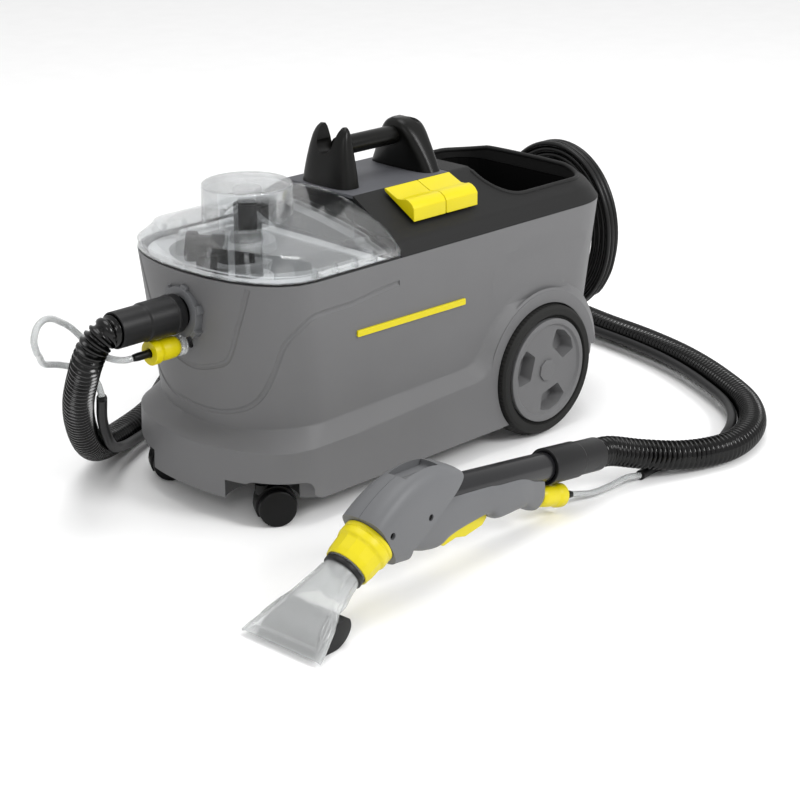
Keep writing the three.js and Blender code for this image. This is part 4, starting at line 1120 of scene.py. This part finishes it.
def lead_route():
    """Down from the gland, round the hook turn by turn, and back into the plug."""
    slots = [(dx, dr) for dr in (12, 4, -4, -12) for dx in (8, 0, -8)]
    start, end = -137, 168
    turns = HANK["turns"]
    total = 360 * turns + (360 + start - end)
    points = list(LEAD_ROUTE)
    steps = turns * 16 + 4
    for i in range(1, steps + 1):
        swept = total * i / steps
        angle = math.radians(start - swept)
        whole = swept / 360
        first = slots[min(int(whole), len(slots) - 1)]
        second = slots[min(int(whole) + 1, len(slots) - 1)]
        change = min(1, max(0, (whole % 1 - 0.75) / 0.25))
        dx = first[0] * (1 - change) + second[0] * change
        dr = first[1] * (1 - change) + second[1] * change
        y = (HANK["across"] + dr) * math.cos(angle)
        z = HANK["z"] + (HANK["up"] + dr) * math.sin(angle)
        points.append((HANK["x"] + dx, y, z))
    points += [(189.5, -69.7, 257), (192, -57.3, 269.4), (195, -42, 274)]
    return points


def mains_lead():
    route = smooth_route(lead_route(), 8)
    curve = bpy.data.curves.new("mains_lead_coil", "CURVE")
    curve.dimensions = "3D"
    curve.bevel_depth = LEAD_R * MM
    curve.bevel_resolution = 4
    spline = curve.splines.new("POLY")
    spline.points.add(len(route) - 1)
    for point, (x, y, z) in zip(spline.points, place(route)):
        point.co = (x, y, z, 1)
    lead = add_object("mains_lead_coil", curve)
    curve.materials.append(MATERIALS["rubber_black"])
    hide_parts("mains_lead", "mains_hank")
    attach(lead, "root")
    plug = dress(rounded_copy("mains_plug", 1.5), "root", "soft_black", "mains_plug")
    dress(rounded_copy("cable_hook", 1.5), "root", "soft_black", "cable_hook")


# ---------- inner parts keep their CAD shapes ----------
INNER_PARTS = {
    # The fresh water tank takes the near-black painted-shade material, which darkens the cavity under the
    # filler mouth.
    "tank_black": ["fresh_water_tank"],
    "soft_black": ["base_plate", "switch_block", "pump_body", "cord_gland"],
    "cuff_dark": ["turbine_housing"],
    "steel": ["stub_axle_left", "stub_axle_right", "motor_can", "motor_rotor", "pump_piston", "valve_stem"],
    "brass": ["spray_valve", "spray_jet"],
    "tank_white": ["water_strainer"],
}


def inner_parts():
    for material, nodes in INNER_PARTS.items():
        for node in nodes:
            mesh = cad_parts[node].data
            mesh.materials.clear()
            mesh.materials.append(MATERIALS[material])


# ---------- stage ----------
CAMERA = {"target": (-324.2, -204.6, 150), "distance": 2316.9, "azimuth": -45.23, "elevation": 20.81}
LENS, SENSOR = 88.26, 36
LIGHTS = [  # name, place, target, size in metres and power in watts
    ("key", (0.9, -2.7, 2.2), (0, 0, 0.15), 1.2, 62),
    ("fill", (-2.4, -1.4, 2.0), (0, 0, 0.1), 1.0, 10),
    ("top", (0.2, 0.3, 3.0), (0, 0, 0), 2.0, 36),
]


def stage():
    floor = bpy.data.meshes.new("floor")
    floor.from_pydata([(-20, -20, 0), (20, -20, 0), (20, 20, 0), (-20, 20, 0)], [], [(0, 1, 2, 3)])
    floor = add_object("floor", floor)
    floor.data.materials.append(plastic("floor_white", "#f6f6f6", 0.9, grain=40, bump=0.01, mottle=0.01))
    world = bpy.data.worlds.new("studio")
    world.use_nodes = True
    background = world.node_tree.nodes["Background"]
    background.inputs["Color"].default_value = (1, 1, 1, 1)
    background.inputs["Strength"].default_value = 0.85
    bpy.context.scene.world = world
    bpy.context.scene.view_settings.view_transform = "Standard"


def area_light(name, location, target, size, power):
    light = bpy.data.lights.new(name, "AREA")
    light.shape = "DISK"
    light.size = size
    light.energy = power
    lamp = add_object(name, light)
    lamp.location = location
    lamp.rotation_euler = (Vector(target) - Vector(location)).to_track_quat("-Z", "Y").to_euler()


def camera():
    azimuth, elevation = math.radians(CAMERA["azimuth"]), math.radians(CAMERA["elevation"])
    back = np.array([
        math.sin(azimuth) * math.cos(elevation),
        -math.cos(azimuth) * math.cos(elevation),
        math.sin(elevation),
    ])
    target = np.array(CAMERA["target"], float)
    lens = bpy.data.cameras.new("camera")
    lens.lens = LENS
    lens.sensor_width = SENSOR
    eye = add_object("camera", lens)
    eye.location = place(target + back * CAMERA["distance"])
    eye.rotation_euler = Vector(-back).to_track_quat("-Z", "Y").to_euler()
    bpy.context.scene.camera = eye


camera()
stage()
for lamp in LIGHTS:
    area_light(*lamp)

suction_hose()
spray_lines()
mains_lead()
inner_parts()
main_housing()
side_stripe()
top_cover()
handle()
lid()
recovery_tank()
wheels()
inlet()
hand_tool()
